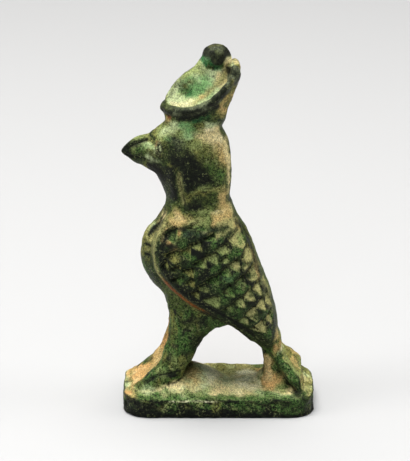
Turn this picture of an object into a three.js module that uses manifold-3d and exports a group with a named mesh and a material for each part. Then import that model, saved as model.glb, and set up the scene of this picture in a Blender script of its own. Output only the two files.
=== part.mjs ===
// A small cast bronze falcon that wears the double crown and stands on its own low plinth.
// Millimetres. +Z is up, the beak points along -Y, and the figure is the same on both sides of X = 0.
// The origin is the middle of the plinth's flat underside.

import * as THREE from 'three';
import { mergeVertices } from 'three/addons/utils/BufferGeometryUtils.js';
import Module from 'manifold-3d';

const wasm = await Module();
wasm.setup();

// Plinth
const PLINTH_LENGTH = 31.0;
const PLINTH_WIDTH = 15.4;
const PLINTH_HEIGHT = 3.35;
const PLINTH_CORNER = 4.2;
const PLINTH_EDGE = 0.8;
const PLINTH_EDGE_STEPS = 2;
const PLINTH_CORNER_STEPS = 5;
const FOOT_SINK = 0.7;

// A rib crosses the figure from a front point to a back point, both [Y, Z], and is this wide each way.
const rib = (front, back, half) => ({ front, back, half });

// Chest, belly and the web between the legs
const CORE_RIBS = [
  rib([-8.3, 34.8], [1.8, 34.6], 4.1),
  rib([-8.9, 32.3], [2.2, 32.6], 4.5),
  rib([-10.1, 30.6], [3.0, 30.8], 5.0),
  rib([-11.6, 28.8], [4.0, 29.0], 5.4),
  rib([-12.4, 26.2], [5.0, 26.5], 5.7),
  rib([-12.2, 23.6], [5.5, 24.0], 5.8),
  rib([-11.0, 21.4], [5.5, 21.0], 5.6),
  rib([-9.5, 19.3], [4.4, 18.8], 5.3),
  rib([-8.4, 17.3], [3.4, 16.8], 4.8),
  rib([-7.8, 15.3], [2.4, 15.0], 4.2),
  rib([-7.3, 13.4], [-0.7, 13.5], 3.2),
  rib([-7.2, 11.4], [-3.0, 11.6], 2.6),
  rib([-8.0, 9.2], [-4.4, 9.1], 2.3),
  rib([-9.4, 7.2], [-5.3, 7.3], 2.2),
  rib([-11.6, 5.0], [-6.0, 5.4], 2.3),
  rib([-13.6, 3.4], [-6.6, 3.7], 2.6),
  rib([-14.0, PLINTH_HEIGHT - FOOT_SINK], [-6.8, PLINTH_HEIGHT - FOOT_SINK], 2.6),
];
const CORE_SHAPE = { frontPower: 2.1, backPower: 2.4, around: 20, rings: 22 };

// Folded wings, which meet over the back and run down to their crossed tips
const WING_RIBS = [
  rib([-7.4, 34.4], [1.9, 34.6], 3.4),
  rib([-8.6, 31.9], [3.2, 32.0], 5.0),
  rib([-9.9, 29.5], [4.6, 29.4], 5.9),
  rib([-10.3, 27.2], [5.5, 27.1], 6.4),
  rib([-9.9, 24.7], [6.4, 24.3], 6.7),
  rib([-8.4, 22.5], [7.3, 21.8], 6.8),
  rib([-6.3, 20.4], [8.2, 19.5], 6.7),
  rib([-3.8, 18.5], [8.8, 17.3], 6.4),
  rib([-1.0, 16.8], [9.2, 15.4], 6.0),
  rib([1.8, 15.1], [9.4, 13.8], 5.4),
  rib([4.2, 12.9], [9.5, 12.3], 4.6),
  rib([6.0, 11.0], [9.5, 10.9], 3.7),
  rib([7.2, 9.7], [9.3, 9.8], 2.6),
];
const WING_SHAPE = { frontPower: 7.0, backPower: 2.3, around: 26, rings: 22 };

// One leg with its long foot, mirrored for the other
const LEG_OUT = 2.6;
const LEG_RIBS = [
  rib([-8.4, 19.6], [1.6, 18.8], 2.0),
  rib([-8.2, 17.2], [2.6, 16.5], 2.45),
  rib([-7.9, 15.2], [1.9, 15.0], 2.4),
  rib([-7.8, 13.5], [-0.7, 13.8], 2.2),
  rib([-7.9, 12.0], [-2.5, 12.2], 2.0),
  rib([-8.6, 10.2], [-3.5, 10.6], 1.85),
  rib([-9.4, 8.4], [-4.3, 9.0], 1.8),
  rib([-10.5, 6.9], [-5.0, 7.4], 1.8),
  rib([-12.0, 5.5], [-5.6, 6.0], 1.85),
  rib([-13.5, 4.4], [-6.1, 4.6], 1.95),
  rib([-14.4, 3.6], [-6.4, 3.7], 2.05),
  rib([-14.4, PLINTH_HEIGHT - FOOT_SINK], [-6.4, PLINTH_HEIGHT - FOOT_SINK], 2.05),
];
const LEG_SHAPE = { frontPower: 2.2, backPower: 2.2, around: 12, rings: 15 };
const LEG_SPLAY_TOP = 12.0;
const LEG_SPLAY = 0.12;

// Low mound under the feet
const MOUND_AT = new THREE.Vector3(0, -6.6, 1.6);
const MOUND_SIZE = new THREE.Vector3(7.3, 8.5, 4.4);

// Neck and hooded head
const HEAD_RIBS = [
  rib([-8.3, 33.2], [2.0, 33.4], 4.1),
  rib([-8.4, 35.0], [1.7, 35.2], 4.2),
  rib([-9.1, 37.2], [1.9, 37.4], 4.4),
  rib([-10.0, 39.1], [2.0, 39.5], 4.5),
  rib([-10.4, 41.4], [1.9, 41.6], 4.5),
  rib([-10.5, 43.3], [1.7, 43.2], 4.3),
  rib([-10.4, 45.0], [1.3, 44.8], 4.0),
  rib([-9.8, 46.2], [0.6, 46.0], 3.6),
  rib([-8.6, 47.2], [0.2, 47.0], 3.3),
];
const HEAD_SHAPE = { frontPower: 2.0, backPower: 2.3, around: 20, rings: 13 };

// Beak: its ribs run from the lower edge to the upper edge
const BEAK_RIBS = [
  rib([-8.4, 38.2], [-8.2, 46.0], 3.1),
  rib([-10.3, 39.15], [-10.4, 45.7], 2.5),
  rib([-12.0, 40.15], [-12.3, 45.2], 1.75),
  rib([-13.4, 40.9], [-13.8, 44.3], 1.15),
  rib([-14.5, 41.6], [-14.8, 43.3], 0.65),
  rib([-15.3, 42.15], [-15.4, 42.55], 0.2),
];
const BEAK_SHAPE = { frontPower: 1.9, backPower: 1.8, around: 14, rings: 9 };
const EYE_AT = new THREE.Vector3(2.8, -9.25, 43.7);
const EYE_SIZE = new THREE.Vector3(0.5, 0.6, 1.0);

// Cup of the crown: its outline grows from the head to the rim, and the rim climbs towards the back
const CUP_RIBS = [
  rib([-8.3, 46.6], [0.35, 46.6], 3.3),
  rib([-8.4, 47.8], [0.95, 47.8], 3.5),
  rib([-8.6, 49.0], [1.3, 49.8], 3.9),
];
const CUP_SWELL = rib([-8.8, 49.3], [2.9, 53.4], 4.25);
const CUP_RIM = rib([-9.05, 50.2], [3.35, 56.7], 4.5);
const CUP_SHAPE = { frontPower: 2.1, backPower: 2.3 };
const CUP_SWELL_SHAPE = { frontPower: 2.2, backPower: 2.4 };
const CUP_RIM_SHAPE = { frontPower: 2.2, backPower: 3.0 };
const CUP_RIM_SAG = 3.4;
const CUP_RIM_DROP = 0.8;
const CUP_NOTCH_DEPTH = 0.9;
const CUP_NOTCH_HALF = 1.2;
const CUP_LOBE_AT = [1.9, 2.35, 55.55];
const CUP_LOBE_SIZE = new THREE.Vector3(1.05, 1.0, 1.55);
// Worn lip: how far each ring lies in from the rim, and how far below it
const CUP_LIP = [[0.0, 0.6], [0.15, 0.15], [0.6, -0.05], [1.05, 0.25], [1.5, 1.5]];
const CUP_AROUND = 26;

// Tall crown that rises out of the cup, and the knob on top of it
const CROWN_RIBS = [
  rib([-8.1, 49.6], [1.7, 51.4], 3.6),
  rib([-8.4, 51.2], [2.2, 53.2], 2.7),
  rib([-7.35, 53.1], [2.4, 54.7], 1.95),
  rib([-5.8, 54.9], [2.4, 55.9], 1.6),
  rib([-4.1, 56.2], [2.2, 56.9], 1.45),
  rib([-3.3, 57.1], [1.9, 57.8], 1.5),
  rib([-2.6, 58.0], [1.7, 58.5], 1.4),
];
const CROWN_SHAPE = { frontPower: 1.6, backPower: 2.2, around: 18, rings: 11 };
const KNOB_AT = new THREE.Vector3(0, -0.45, 57.9);
const KNOB_SIZE = new THREE.Vector3(1.8, 2.2, 2.1);

// Tail, which slants from under the wing tips to the back of the plinth, and the web in front of it
const TAIL_RIBS = [
  rib([6.4, 12.6], [9.3, 12.9], 2.3),
  rib([7.6, 10.4], [10.0, 11.0], 3.2),
  rib([8.6, 8.6], [10.4, 9.0], 3.2),
  rib([9.6, 6.8], [11.6, 7.6], 4.1),
  rib([10.7, 5.2], [12.9, 6.0], 5.3),
  rib([11.7, 4.0], [13.7, 4.5], 5.9),
  rib([12.3, PLINTH_HEIGHT - FOOT_SINK], [14.3, PLINTH_HEIGHT - FOOT_SINK], 6.1),
];
const TAIL_SHAPE = { frontPower: 4.0, backPower: 5.0, around: 16, rings: 9 };
const WEB_RIBS = [
  rib([6.3, 11.0], [9.0, 11.0], 1.6),
  rib([6.9, 9.0], [9.8, 9.0], 1.7),
  rib([7.2, 7.0], [11.0, 7.0], 2.1),
  rib([6.9, 5.4], [12.0, 5.4], 2.9),
  rib([6.0, 4.0], [12.8, 4.0], 4.0),
  rib([5.0, PLINTH_HEIGHT - FOOT_SINK], [13.2, PLINTH_HEIGHT - FOOT_SINK], 4.8),
];
const WEB_SHAPE = { frontPower: 2.0, backPower: 2.0, around: 12, rings: 8 };

// One feather scale: where its middle shows from the side, and how wide and tall it is
const scale = (y, z, wide, tall) => ({ y, z, wide, tall });

// Feather scales of one flank: sunk triangles in slanting, staggered rows
const SCALES = [
  scale(-7.3, 30.5, 2.3, 2.3), scale(-3.3, 31.8, 2.0, 1.5), scale(3.0, 29.2, 2.6, 2.7),
  scale(-7.1, 27.1, 1.9, 1.9), scale(-5.2, 27.7, 1.4, 1.5), scale(-3.4, 28.8, 1.7, 1.2),
  scale(-1.2, 30.0, 1.7, 1.2), scale(0.7, 28.0, 1.9, 1.7), scale(4.5, 26.5, 2.2, 2.2),
  scale(-8.4, 25.4, 1.0, 1.9), scale(-4.7, 24.6, 1.6, 1.2), scale(-2.8, 26.0, 1.6, 1.2),
  scale(-1.0, 26.9, 1.9, 1.5), scale(2.5, 25.4, 1.7, 1.5), scale(5.2, 23.5, 2.2, 2.1),
  scale(-6.1, 23.2, 1.6, 1.5), scale(-0.8, 23.2, 1.6, 1.4), scale(1.0, 24.5, 1.6, 1.4),
  scale(3.5, 22.6, 1.3, 1.9), scale(6.1, 21.1, 1.4, 1.9), scale(-2.5, 22.0, 1.7, 1.2),
  scale(1.6, 21.4, 1.3, 1.7), scale(4.7, 20.4, 1.6, 1.7), scale(7.8, 18.8, 1.1, 2.0),
  scale(-0.9, 19.7, 2.1, 1.7), scale(3.1, 19.4, 1.6, 1.4), scale(6.7, 18.5, 1.4, 1.7),
  scale(1.8, 18.4, 1.4, 1.2), scale(5.3, 17.4, 1.6, 1.9), scale(8.1, 16.0, 1.0, 1.7),
  scale(3.9, 16.1, 1.4, 1.2), scale(6.7, 14.8, 1.8, 1.9), scale(-4.5, 22.9, 1.2, 1.1),
  scale(-6.7, 25.0, 1.2, 1.2), scale(-3.6, 20.9, 1.2, 1.1), scale(1.0, 26.4, 1.2, 1.0),
];
const SCALE_SHARE = 0.85;
const SCALE_FLOOR_SHARE = 0.7;
const SCALE_DEPTH = 0.45;
const SCALE_TURN = THREE.MathUtils.degToRad(94);

const bronze = new THREE.MeshStandardMaterial({ color: 0x3f5236, roughness: 0.55, metalness: 0.6 });

// Value of a smooth curve through evenly numbered stations.
function along(stations, place) {
  const curve = new THREE.CatmullRomCurve3(stations, false, 'catmullrom', 0.5);
  return curve.getPoint(THREE.MathUtils.clamp(place, 0, 1));
}

// Rib at any place from the first (0) to the last (1) of a row of ribs.
function ribAt(ribs, place) {
  const front = along(ribs.map((r) => new THREE.Vector3(r.half, ...r.front)), place);
  const back = along(ribs.map((r) => new THREE.Vector3(r.half, ...r.back)), place);
  return rib([front.y, front.z], [back.y, back.z], front.x);
}

// Point on a rib's outline: cross is -1 at its front and 1 at its back, side is -1 to 1 across X.
function outlinePoint(r, angle, shape) {
  const cross = Math.cos(angle);
  const side = Math.sin(angle);
  const power = 2 / (cross < 0 ? shape.frontPower : shape.backPower);
  const t = 0.5 + 0.5 * Math.sign(cross) * Math.abs(cross) ** power;
  const x = r.half * Math.sign(side) * Math.abs(side) ** power;
  const y = THREE.MathUtils.lerp(r.front[0], r.back[0], t);
  const z = THREE.MathUtils.lerp(r.front[1], r.back[1], t);
  return new THREE.Vector3(x, y, z);
}

// Closed geometry whose rings are given by ringPoint(ring, angle) and whose two ends close on a point.
function ringGeometry(around, rings, ringPoint, firstPole, lastPole) {
  const geometry = new THREE.SphereGeometry(1, around, rings + 1);
  const position = geometry.getAttribute('position');
  for (let i = 0; i < position.count; i += 1) {
    const ring = Math.floor(i / (around + 1)) - 1;
    const angle = ((i % (around + 1)) % around) * 2 * Math.PI / around;
    let point = ringPoint(Math.min(Math.max(ring, 0), rings - 1), angle);
    if (ring < 0) point = firstPole;
    if (ring >= rings) point = lastPole;
    position.setXYZ(i, point.x, point.y, point.z);
  }
  return geometry;
}

// Geometry turned into a solid, with its faces outwards.
function solid(geometry) {
  const bare = geometry.index ? geometry.clone() : mergeVertices(geometry);
  bare.deleteAttribute('normal');
  bare.deleteAttribute('uv');
  const merged = mergeVertices(bare, 1e-4);
  const vertProperties = new Float32Array(merged.getAttribute('position').array);
  const triVerts = new Uint32Array(merged.index.array);
  if (signedVolume(vertProperties, triVerts) < 0) {
    for (let i = 0; i < triVerts.length; i += 3) {
      [triVerts[i + 1], triVerts[i + 2]] = [triVerts[i + 2], triVerts[i + 1]];
    }
  }
  return new wasm.Manifold(new wasm.Mesh({ numProp: 3, vertProperties, triVerts }));
}

// Six times the volume inside the triangles: it is negative where they face inwards.
function signedVolume(places, corners) {
  const at = (corner) => new THREE.Vector3().fromArray(places, 3 * corner);
  let sum = 0;
  for (let i = 0; i < corners.length; i += 3) {
    sum += at(corners[i]).dot(at(corners[i + 1]).cross(at(corners[i + 2])));
  }
  return sum;
}

// Solid through a row of ribs.
function loft(ribs, shape) {
  const { around, rings } = shape;
  const placed = Array.from({ length: rings }, (_, ring) => ribAt(ribs, ring / (rings - 1)));
  const middle = (r) => outlinePoint(r, 0, shape).lerp(outlinePoint(r, Math.PI, shape), 0.5);
  const ringPoint = (ring, angle) => outlinePoint(placed[ring], angle, shape);
  return solid(ringGeometry(around, rings, ringPoint, middle(placed[0]), middle(placed[rings - 1])));
}

// Ellipsoid for the small rounded forms: the knob and the eyes.
function ellipsoid(centre, size, around, rings) {
  const geometry = new THREE.SphereGeometry(1, around, rings);
  geometry.scale(size.x, size.y, size.z);
  geometry.translate(centre.x, centre.y, centre.z);
  return solid(geometry);
}

// Low dome with a flat underside, from which the feet rise.
function mound() {
  const geometry = new THREE.SphereGeometry(1, 20, 10);
  const position = geometry.getAttribute('position');
  for (let i = 0; i < position.count; i += 1) {
    position.setXYZ(i, position.getZ(i), position.getX(i), Math.max(position.getY(i), 0));
  }
  geometry.scale(MOUND_SIZE.x, MOUND_SIZE.y, MOUND_SIZE.z);
  geometry.translate(MOUND_AT.x, MOUND_AT.y, MOUND_AT.z);
  return solid(geometry);
}

// Low block with round corners and worn edges.
function plinth() {
  const halfWidth = PLINTH_WIDTH / 2 - PLINTH_EDGE;
  const halfLength = PLINTH_LENGTH / 2 - PLINTH_EDGE;
  const corner = PLINTH_CORNER - PLINTH_EDGE;
  const outline = new THREE.Shape();
  outline.moveTo(halfWidth, corner - halfLength);
  outline.lineTo(halfWidth, halfLength - corner);
  outline.absarc(halfWidth - corner, halfLength - corner, corner, 0, Math.PI / 2);
  outline.absarc(corner - halfWidth, halfLength - corner, corner, Math.PI / 2, Math.PI);
  outline.absarc(corner - halfWidth, corner - halfLength, corner, Math.PI, 1.5 * Math.PI);
  outline.absarc(halfWidth - corner, corner - halfLength, corner, 1.5 * Math.PI, 2 * Math.PI);
  const geometry = new THREE.ExtrudeGeometry(outline, {
    depth: PLINTH_HEIGHT - 2 * PLINTH_EDGE,
    curveSegments: PLINTH_CORNER_STEPS,
    bevelThickness: PLINTH_EDGE,
    bevelSize: PLINTH_EDGE,
    bevelSegments: PLINTH_EDGE_STEPS,
  });
  geometry.translate(0, 0, PLINTH_EDGE);
  return solid(geometry);
}

// Rim of the cup: it sags between its front and its tall back, its sides hang a little lower, and its
// back has a shallow notch in the middle.
function rimPoint(angle, inset, drop) {
  const inner = rib(
    [CUP_RIM.front[0] + inset, CUP_RIM.front[1]],
    [CUP_RIM.back[0] - inset, CUP_RIM.back[1]],
    CUP_RIM.half - inset,
  );
  const point = outlinePoint(inner, angle, CUP_RIM_SHAPE);
  const t = (point.y - inner.front[0]) / (inner.back[0] - inner.front[0]);
  const hang = CUP_RIM_DROP * Math.abs(Math.sin(angle));
  const notch = CUP_NOTCH_DEPTH * THREE.MathUtils.smoothstep(t, 0.6, 1)
    * (1 - THREE.MathUtils.smoothstep(Math.abs(point.x), 0, CUP_NOTCH_HALF));
  point.z -= CUP_RIM_SAG * 4 * t ** 1.5 * (1 - t) ** 1.35 + hang * t + notch + drop;
  return point;
}

// Ring below the rim, where the back of the cup stands out most.
function cupSwell(angle) {
  const point = outlinePoint(CUP_SWELL, angle, CUP_SWELL_SHAPE);
  const t = (point.y - CUP_SWELL.front[0]) / (CUP_SWELL.back[0] - CUP_SWELL.front[0]);
  point.z -= CUP_RIM_SAG * 1.5 * t * (1 - t);
  return point;
}

// Cup of the crown, with its shallow hollow.
function cup() {
  const rings = [
    ...CUP_RIBS.map((r) => (angle) => outlinePoint(r, angle, CUP_SHAPE)),
    cupSwell,
    ...CUP_LIP.map(([inset, drop]) => (angle) => rimPoint(angle, inset, drop)),
  ];
  const ringPoint = (ring, angle) => rings[ring](angle);
  const under = new THREE.Vector3(0, (CUP_RIBS[0].front[0] + CUP_RIBS[0].back[0]) / 2, CUP_RIBS[0].front[1]);
  const [inset, depth] = CUP_LIP[CUP_LIP.length - 1];
  const floor = rimPoint(0, inset, depth).lerp(rimPoint(Math.PI, inset, depth), 0.5);
  floor.z -= CUP_RIM_SAG;
  return solid(ringGeometry(CUP_AROUND, rings.length, ringPoint, under, floor));
}

// Leg and foot on one side; side is 1 or -1. The legs spread a little towards the plinth.
function leg(side) {
  const { around, rings } = LEG_SHAPE;
  const place = (point) => {
    const splay = Math.max(LEG_SPLAY_TOP - point.z, 0) * LEG_SPLAY;
    return point.setX(point.x + side * (LEG_OUT + splay));
  };
  const ribs = Array.from({ length: rings }, (_, ring) => ribAt(LEG_RIBS, ring / (rings - 1)));
  const middle = (r) => outlinePoint(r, 0, LEG_SHAPE).lerp(outlinePoint(r, Math.PI, LEG_SHAPE), 0.5);
  const ringPoint = (ring, angle) => place(outlinePoint(ribs[ring], angle, LEG_SHAPE));
  const first = place(middle(ribs[0]));
  const last = place(middle(ribs[rings - 1]));
  return solid(ringGeometry(around, rings, ringPoint, first, last));
}

// Rib of the wings that crosses [y, z] in the side view, and the place across it from -1 to 1.
function wingPlace(y, z) {
  let low = 0;
  let high = 1;
  for (let step = 0; step < 24; step += 1) {
    const place = (low + high) / 2;
    const { front, back } = ribAt(WING_RIBS, place);
    const above = (back[0] - front[0]) * (z - front[1]) - (back[1] - front[1]) * (y - front[0]);
    if (above > 0) high = place;
    else low = place;
  }
  const r = ribAt(WING_RIBS, low);
  const cross = 2 * (y - r.front[0]) / (r.back[0] - r.front[0]) - 1;
  return { cross, rib: r };
}

// Half-width of the folded wings at [y, z].
function wingHalf(y, z) {
  const { cross, rib: r } = wingPlace(y, z);
  const power = cross < 0 ? WING_SHAPE.frontPower : WING_SHAPE.backPower;
  return r.half * Math.max(1 - Math.abs(cross) ** power, 0) ** (1 / power);
}

// Three-sided pit of one feather scale, sunk at right angles into the wing. Its walls lean.
function scalePit({ y, z, wide, tall }, side) {
  const step = 0.3;
  const slopeY = (wingHalf(y + step, z) - wingHalf(y - step, z)) / (2 * step);
  const slopeZ = (wingHalf(y, z + step) - wingHalf(y, z - step)) / (2 * step);
  const outward = new THREE.Vector3(1, -slopeY, -slopeZ).normalize();
  const up = new THREE.Vector3(0, 0, 1).projectOnPlane(outward).normalize();
  const across = new THREE.Vector3().crossVectors(outward, up).normalize();
  const radius = SCALE_SHARE * (wide + tall) / 2;
  const floor = radius * SCALE_FLOOR_SHARE;
  const geometry = new THREE.CylinderGeometry(floor, 2 * radius - floor, 2 * SCALE_DEPTH, 3, 1);
  geometry.applyMatrix4(new THREE.Matrix4().makeRotationY(SCALE_TURN));
  geometry.applyMatrix4(new THREE.Matrix4().makeBasis(across, outward.clone().negate(), up));
  geometry.translate(wingHalf(y, z), y, z);
  if (side < 0) geometry.scale(-1, 1, 1);
  return solid(geometry);
}

// The whole casting as one solid.
function casting() {
  let figure = plinth();
  figure = figure.add(loft(CORE_RIBS, CORE_SHAPE));
  figure = figure.add(loft(WING_RIBS, WING_SHAPE));
  figure = figure.add(loft(HEAD_RIBS, HEAD_SHAPE));
  figure = figure.add(loft(BEAK_RIBS, BEAK_SHAPE));
  figure = figure.add(loft(TAIL_RIBS, TAIL_SHAPE));
  figure = figure.add(loft(WEB_RIBS, WEB_SHAPE));
  figure = figure.add(cup());
  figure = figure.add(loft(CROWN_RIBS, CROWN_SHAPE));
  figure = figure.add(ellipsoid(KNOB_AT, KNOB_SIZE, 14, 10));
  for (const side of [1, -1]) {
    const [x, y, z] = CUP_LOBE_AT;
    figure = figure.add(ellipsoid(new THREE.Vector3(side * x, y, z), CUP_LOBE_SIZE, 12, 8));
  }
  figure = figure.add(mound());
  for (const side of [1, -1]) {
    figure = figure.add(leg(side));
    const eye = EYE_AT.clone().setX(side * EYE_AT.x);
    figure = figure.add(ellipsoid(eye, EYE_SIZE, 8, 6));
    for (const place of SCALES) figure = figure.subtract(scalePit(place, side));
  }
  return figure;
}

// Mesh of a solid, ready for the scene.
function meshOf(name, body) {
  const { vertProperties, triVerts } = body.getMesh();
  const geometry = new THREE.BufferGeometry();
  geometry.setAttribute('position', new THREE.BufferAttribute(vertProperties, 3));
  geometry.setIndex(new THREE.BufferAttribute(triVerts, 1));
  geometry.computeVertexNormals();
  const mesh = new THREE.Mesh(geometry, bronze);
  mesh.name = name;
  return mesh;
}

const group = new THREE.Group();
group.add(meshOf('bronze_falcon', casting()));

export default group;
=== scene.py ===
"""A small cast bronze falcon that wears the double crown and stands on its own low plinth.

The forms are lofted in millimetres, fused into one skin, worn, carved and then dressed with a patina.
+Z is up, the beak points along -Y, and the bird's left side faces +X.
"""

import logging
import math
from dataclasses import dataclass, field
from enum import Enum
from typing import Protocol

import bpy
import numpy as np
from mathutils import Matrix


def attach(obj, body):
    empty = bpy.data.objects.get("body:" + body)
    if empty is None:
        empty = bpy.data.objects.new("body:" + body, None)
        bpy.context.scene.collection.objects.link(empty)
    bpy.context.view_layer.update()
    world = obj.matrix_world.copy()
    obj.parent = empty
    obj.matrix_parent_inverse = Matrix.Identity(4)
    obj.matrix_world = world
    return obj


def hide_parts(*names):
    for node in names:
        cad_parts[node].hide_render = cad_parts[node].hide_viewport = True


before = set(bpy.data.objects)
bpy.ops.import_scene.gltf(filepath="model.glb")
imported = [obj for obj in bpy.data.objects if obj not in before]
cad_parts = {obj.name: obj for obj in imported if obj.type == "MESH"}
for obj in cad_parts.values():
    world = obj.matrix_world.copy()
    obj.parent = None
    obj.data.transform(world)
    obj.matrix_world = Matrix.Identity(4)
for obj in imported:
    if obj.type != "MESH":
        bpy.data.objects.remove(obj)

LOG = logging.getLogger("falcon")
MM = 0.001
X, Y, Z = range(3)
UPWARD = np.array([0.0, 0.0, 1.0])
FULL_TURN = 2.0 * math.pi
PIECE = "falcon_casting"
CAD_NODE = "bronze_falcon"
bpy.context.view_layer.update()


class Layer(Enum):
    """Named values kept on every point of the skin."""

    FEATHERS = "feathers"
    PIT = "pit"
    ROUGH = "rough"
    GRAIN = "grain"


# Name of the colour that is painted on the skin.
TINT = "tint"
# Columns of a coat's row that follow its colour.
ROUGH_COLUMN, GRAIN_COLUMN = 3, 4


@dataclass(frozen=True)
class Finish:
    """One coat of the old skin.

    Attributes:
        tone: Its colour on screen, from 0 to 255.
        rough: Its roughness.
        grain: How granular it is, from 0 to 1.
    """

    tone: tuple[int, int, int]
    rough: float = 0.6
    grain: float = 0.3

    def row(self) -> np.ndarray:
        """Return the coat as one row of numbers from 0 to 1."""
        return np.array([*(part / 255.0 for part in self.tone), self.rough, self.grain])


class Coat(Enum):
    """The coats that lie on the casting. Each one's place in the list picks its mottling."""

    # Black: the neck's dark patch, and painted shade under the rim, in fine creases and along the
    # plinth's bottom.
    BLACK_AND_SHADE = Finish((9, 11, 5), 0.60, 0.15)
    # Dark polished metal, also laid as painted shade under the rim and in the crease under each foot.
    METAL = Finish((14, 18, 10), 0.46, 0.50)
    POLISH = Finish((27, 30, 20), 0.30, 0.12)
    SLATE = Finish((46, 58, 46), 0.34, 0.30)
    PEWTER = Finish((88, 94, 70), 0.45, 0.45)
    JADE = Finish((34, 84, 44), 0.50, 0.45)
    DEEP = Finish((30, 41, 17), 0.42, 0.60)
    MOSS = Finish((62, 74, 33), 0.55, 0.60)
    LEAF = Finish((58, 84, 38), 0.55, 0.70)
    OLIVE = Finish((110, 108, 56), 0.65, 0.50)
    SAGE = Finish((128, 138, 82), 0.70, 0.28)
    MOULD = Finish((158, 153, 99), 0.75, 0.20)
    BRIGHT = Finish((104, 144, 88), 0.70, 0.20)
    MINT = Finish((186, 198, 150), 0.80, 0.14)
    EARTH = Finish((174, 150, 96), 0.85, 0.26)
    CLAY = Finish((187, 148, 94), 0.85, 0.16)
    SAND = Finish((206, 190, 138), 0.85, 0.20)
    CREAM = Finish((222, 216, 176), 0.85, 0.12)
    RUST = Finish((116, 62, 27), 0.65, 0.35)


def ease(low: float, high: float, value: np.ndarray) -> np.ndarray:
    """Rise smoothly from 0 at low to 1 at high.

    Args:
        low: Where the rise starts. It may be above high, which turns the rise into a fall.
        high: Where the rise ends.
        value: Values to ease.

    Returns:
        Numbers from 0 to 1, shaped as value.
    """
    t = np.clip((value - low) / (high - low), 0.0, 1.0)
    return t * t * (3.0 - 2.0 * t)


def turns(count: int) -> np.ndarray:
    """Return evenly spaced angles around a full turn, from 0."""
    return np.linspace(0.0, FULL_TURN, count, endpoint=False)


def folded(places: np.ndarray) -> np.ndarray:
    """Return places mirrored onto the bird's left side."""
    return np.column_stack([np.abs(places[:, X]), places[:, Y:]])


def share_away(
    places: np.ndarray, middle: tuple[float, float, float], size: tuple[float, float, float]
) -> np.ndarray:
    """Return how far each place lies from a middle, as a share of a size along X, Y and Z."""
    return np.linalg.norm((places - np.array(middle)) / np.array(size), axis=1)


# Numbers that scramble the noise's grid cells and seeds.
CELL_PRIMES = np.array([73856093, 19349663, 83492791])
SEED_PRIME = 7919
SEED_SHIFT = 11.37
MIXERS = ((13, 1274126177), (16, 668265263))
LARGEST = 0xFFFFFFFF


def noise(points: np.ndarray, size: float, seed: int) -> np.ndarray:
    """Smooth noise from -1 to 1 with lumps of about the given size.

    Args:
        points: Places, one row each.
        size: Distance between the noise's own grid points.
        seed: Whole number that picks the pattern.

    Returns:
        One number for each point.
    """
    grid = points / size + SEED_SHIFT * seed
    base = np.floor(grid).astype(np.int64)
    part = grid - base
    part = part * part * (3.0 - 2.0 * part)
    total = np.zeros(len(points))
    for corner in range(8):
        step = np.array([(corner >> axis) & 1 for axis in range(3)])
        cell = (base + step) * CELL_PRIMES
        mixed = cell[:, X] ^ cell[:, Y] ^ cell[:, Z] ^ (seed * SEED_PRIME)
        for shift, factor in MIXERS:
            mixed = ((mixed ^ (mixed >> shift)) * factor) & LARGEST
        weight = np.prod(np.where(step, part, 1.0 - part), axis=1)
        total += weight * mixed / LARGEST
    return 2.0 * total - 1.0


def catmull_rom(stations: np.ndarray, places: np.ndarray) -> np.ndarray:
    """Smooth curve through evenly numbered stations.

    Args:
        stations: One row of numbers for each station.
        places: Places from the first station (0) to the last (1).

    Returns:
        One row for each place.
    """
    last = len(stations) - 1
    ends = (2 * stations[0] - stations[1], 2 * stations[last] - stations[last - 1])
    padded = np.vstack([ends[0], stations, ends[1]])
    at = np.clip(places, 0.0, 1.0) * last
    index = np.minimum(at.astype(int), last - 1)
    t = (at - index)[:, None]
    p0, p1, p2, p3 = (padded[index + k] for k in range(4))
    m1 = 0.5 * (p2 - p0)
    m2 = 0.5 * (p3 - p1)
    cubic = (2 * p1 - 2 * p2 + m1 + m2) * t**3
    square = (-3 * p1 + 3 * p2 - 2 * m1 - m2) * t**2
    return cubic + square + m1 * t + p1


def plain_mesh(name: str, places: np.ndarray, faces: list[tuple[int, ...]]) -> bpy.types.Mesh:
    """Make a mesh.

    Args:
        name: Its name.
        places: Places of its corners, one row each.
        faces: Corner numbers of each face.

    Returns:
        The mesh.
    """
    mesh = bpy.data.meshes.new(name)
    mesh.from_pydata(places.tolist(), [], faces)
    return mesh


def placed(name: str, data: bpy.types.ID) -> bpy.types.Object:
    """Put an object with the given mesh, camera or light into the scene, and return it."""
    thing = bpy.data.objects.new(name, data)
    bpy.context.scene.collection.objects.link(thing)
    return thing


@dataclass(frozen=True)
class Rib:
    """One cross-piece of a lofted form, in the side plane.

    Attributes:
        front: Y and Z of its front end.
        back: Y and Z of its back end.
        half: Half of its width across X.
    """

    front: tuple[float, float]
    back: tuple[float, float]
    half: float

    def row(self) -> tuple[float, ...]:
        """Return front, back and half-width as one row of numbers."""
        return (*self.front, *self.back, self.half)


@dataclass(frozen=True)
class Section:
    """How square a rib's outline is, and how finely it is drawn.

    Attributes:
        front_power: Power of the outline's front half: 2 is round, and more is squarer.
        back_power: Power of its back half.
        around: Points around one outline.
        rings: Outlines along the form.
    """

    front_power: float = 2.0
    back_power: float = 2.0
    around: int = 56
    rings: int = 60


@dataclass
class Shell:
    """A closed surface of its own, before it is fused with the others.

    Attributes:
        points: Places of its corners in millimetres.
        faces: Corner numbers of each face.
    """

    points: np.ndarray
    faces: list[tuple[int, ...]]


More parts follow.
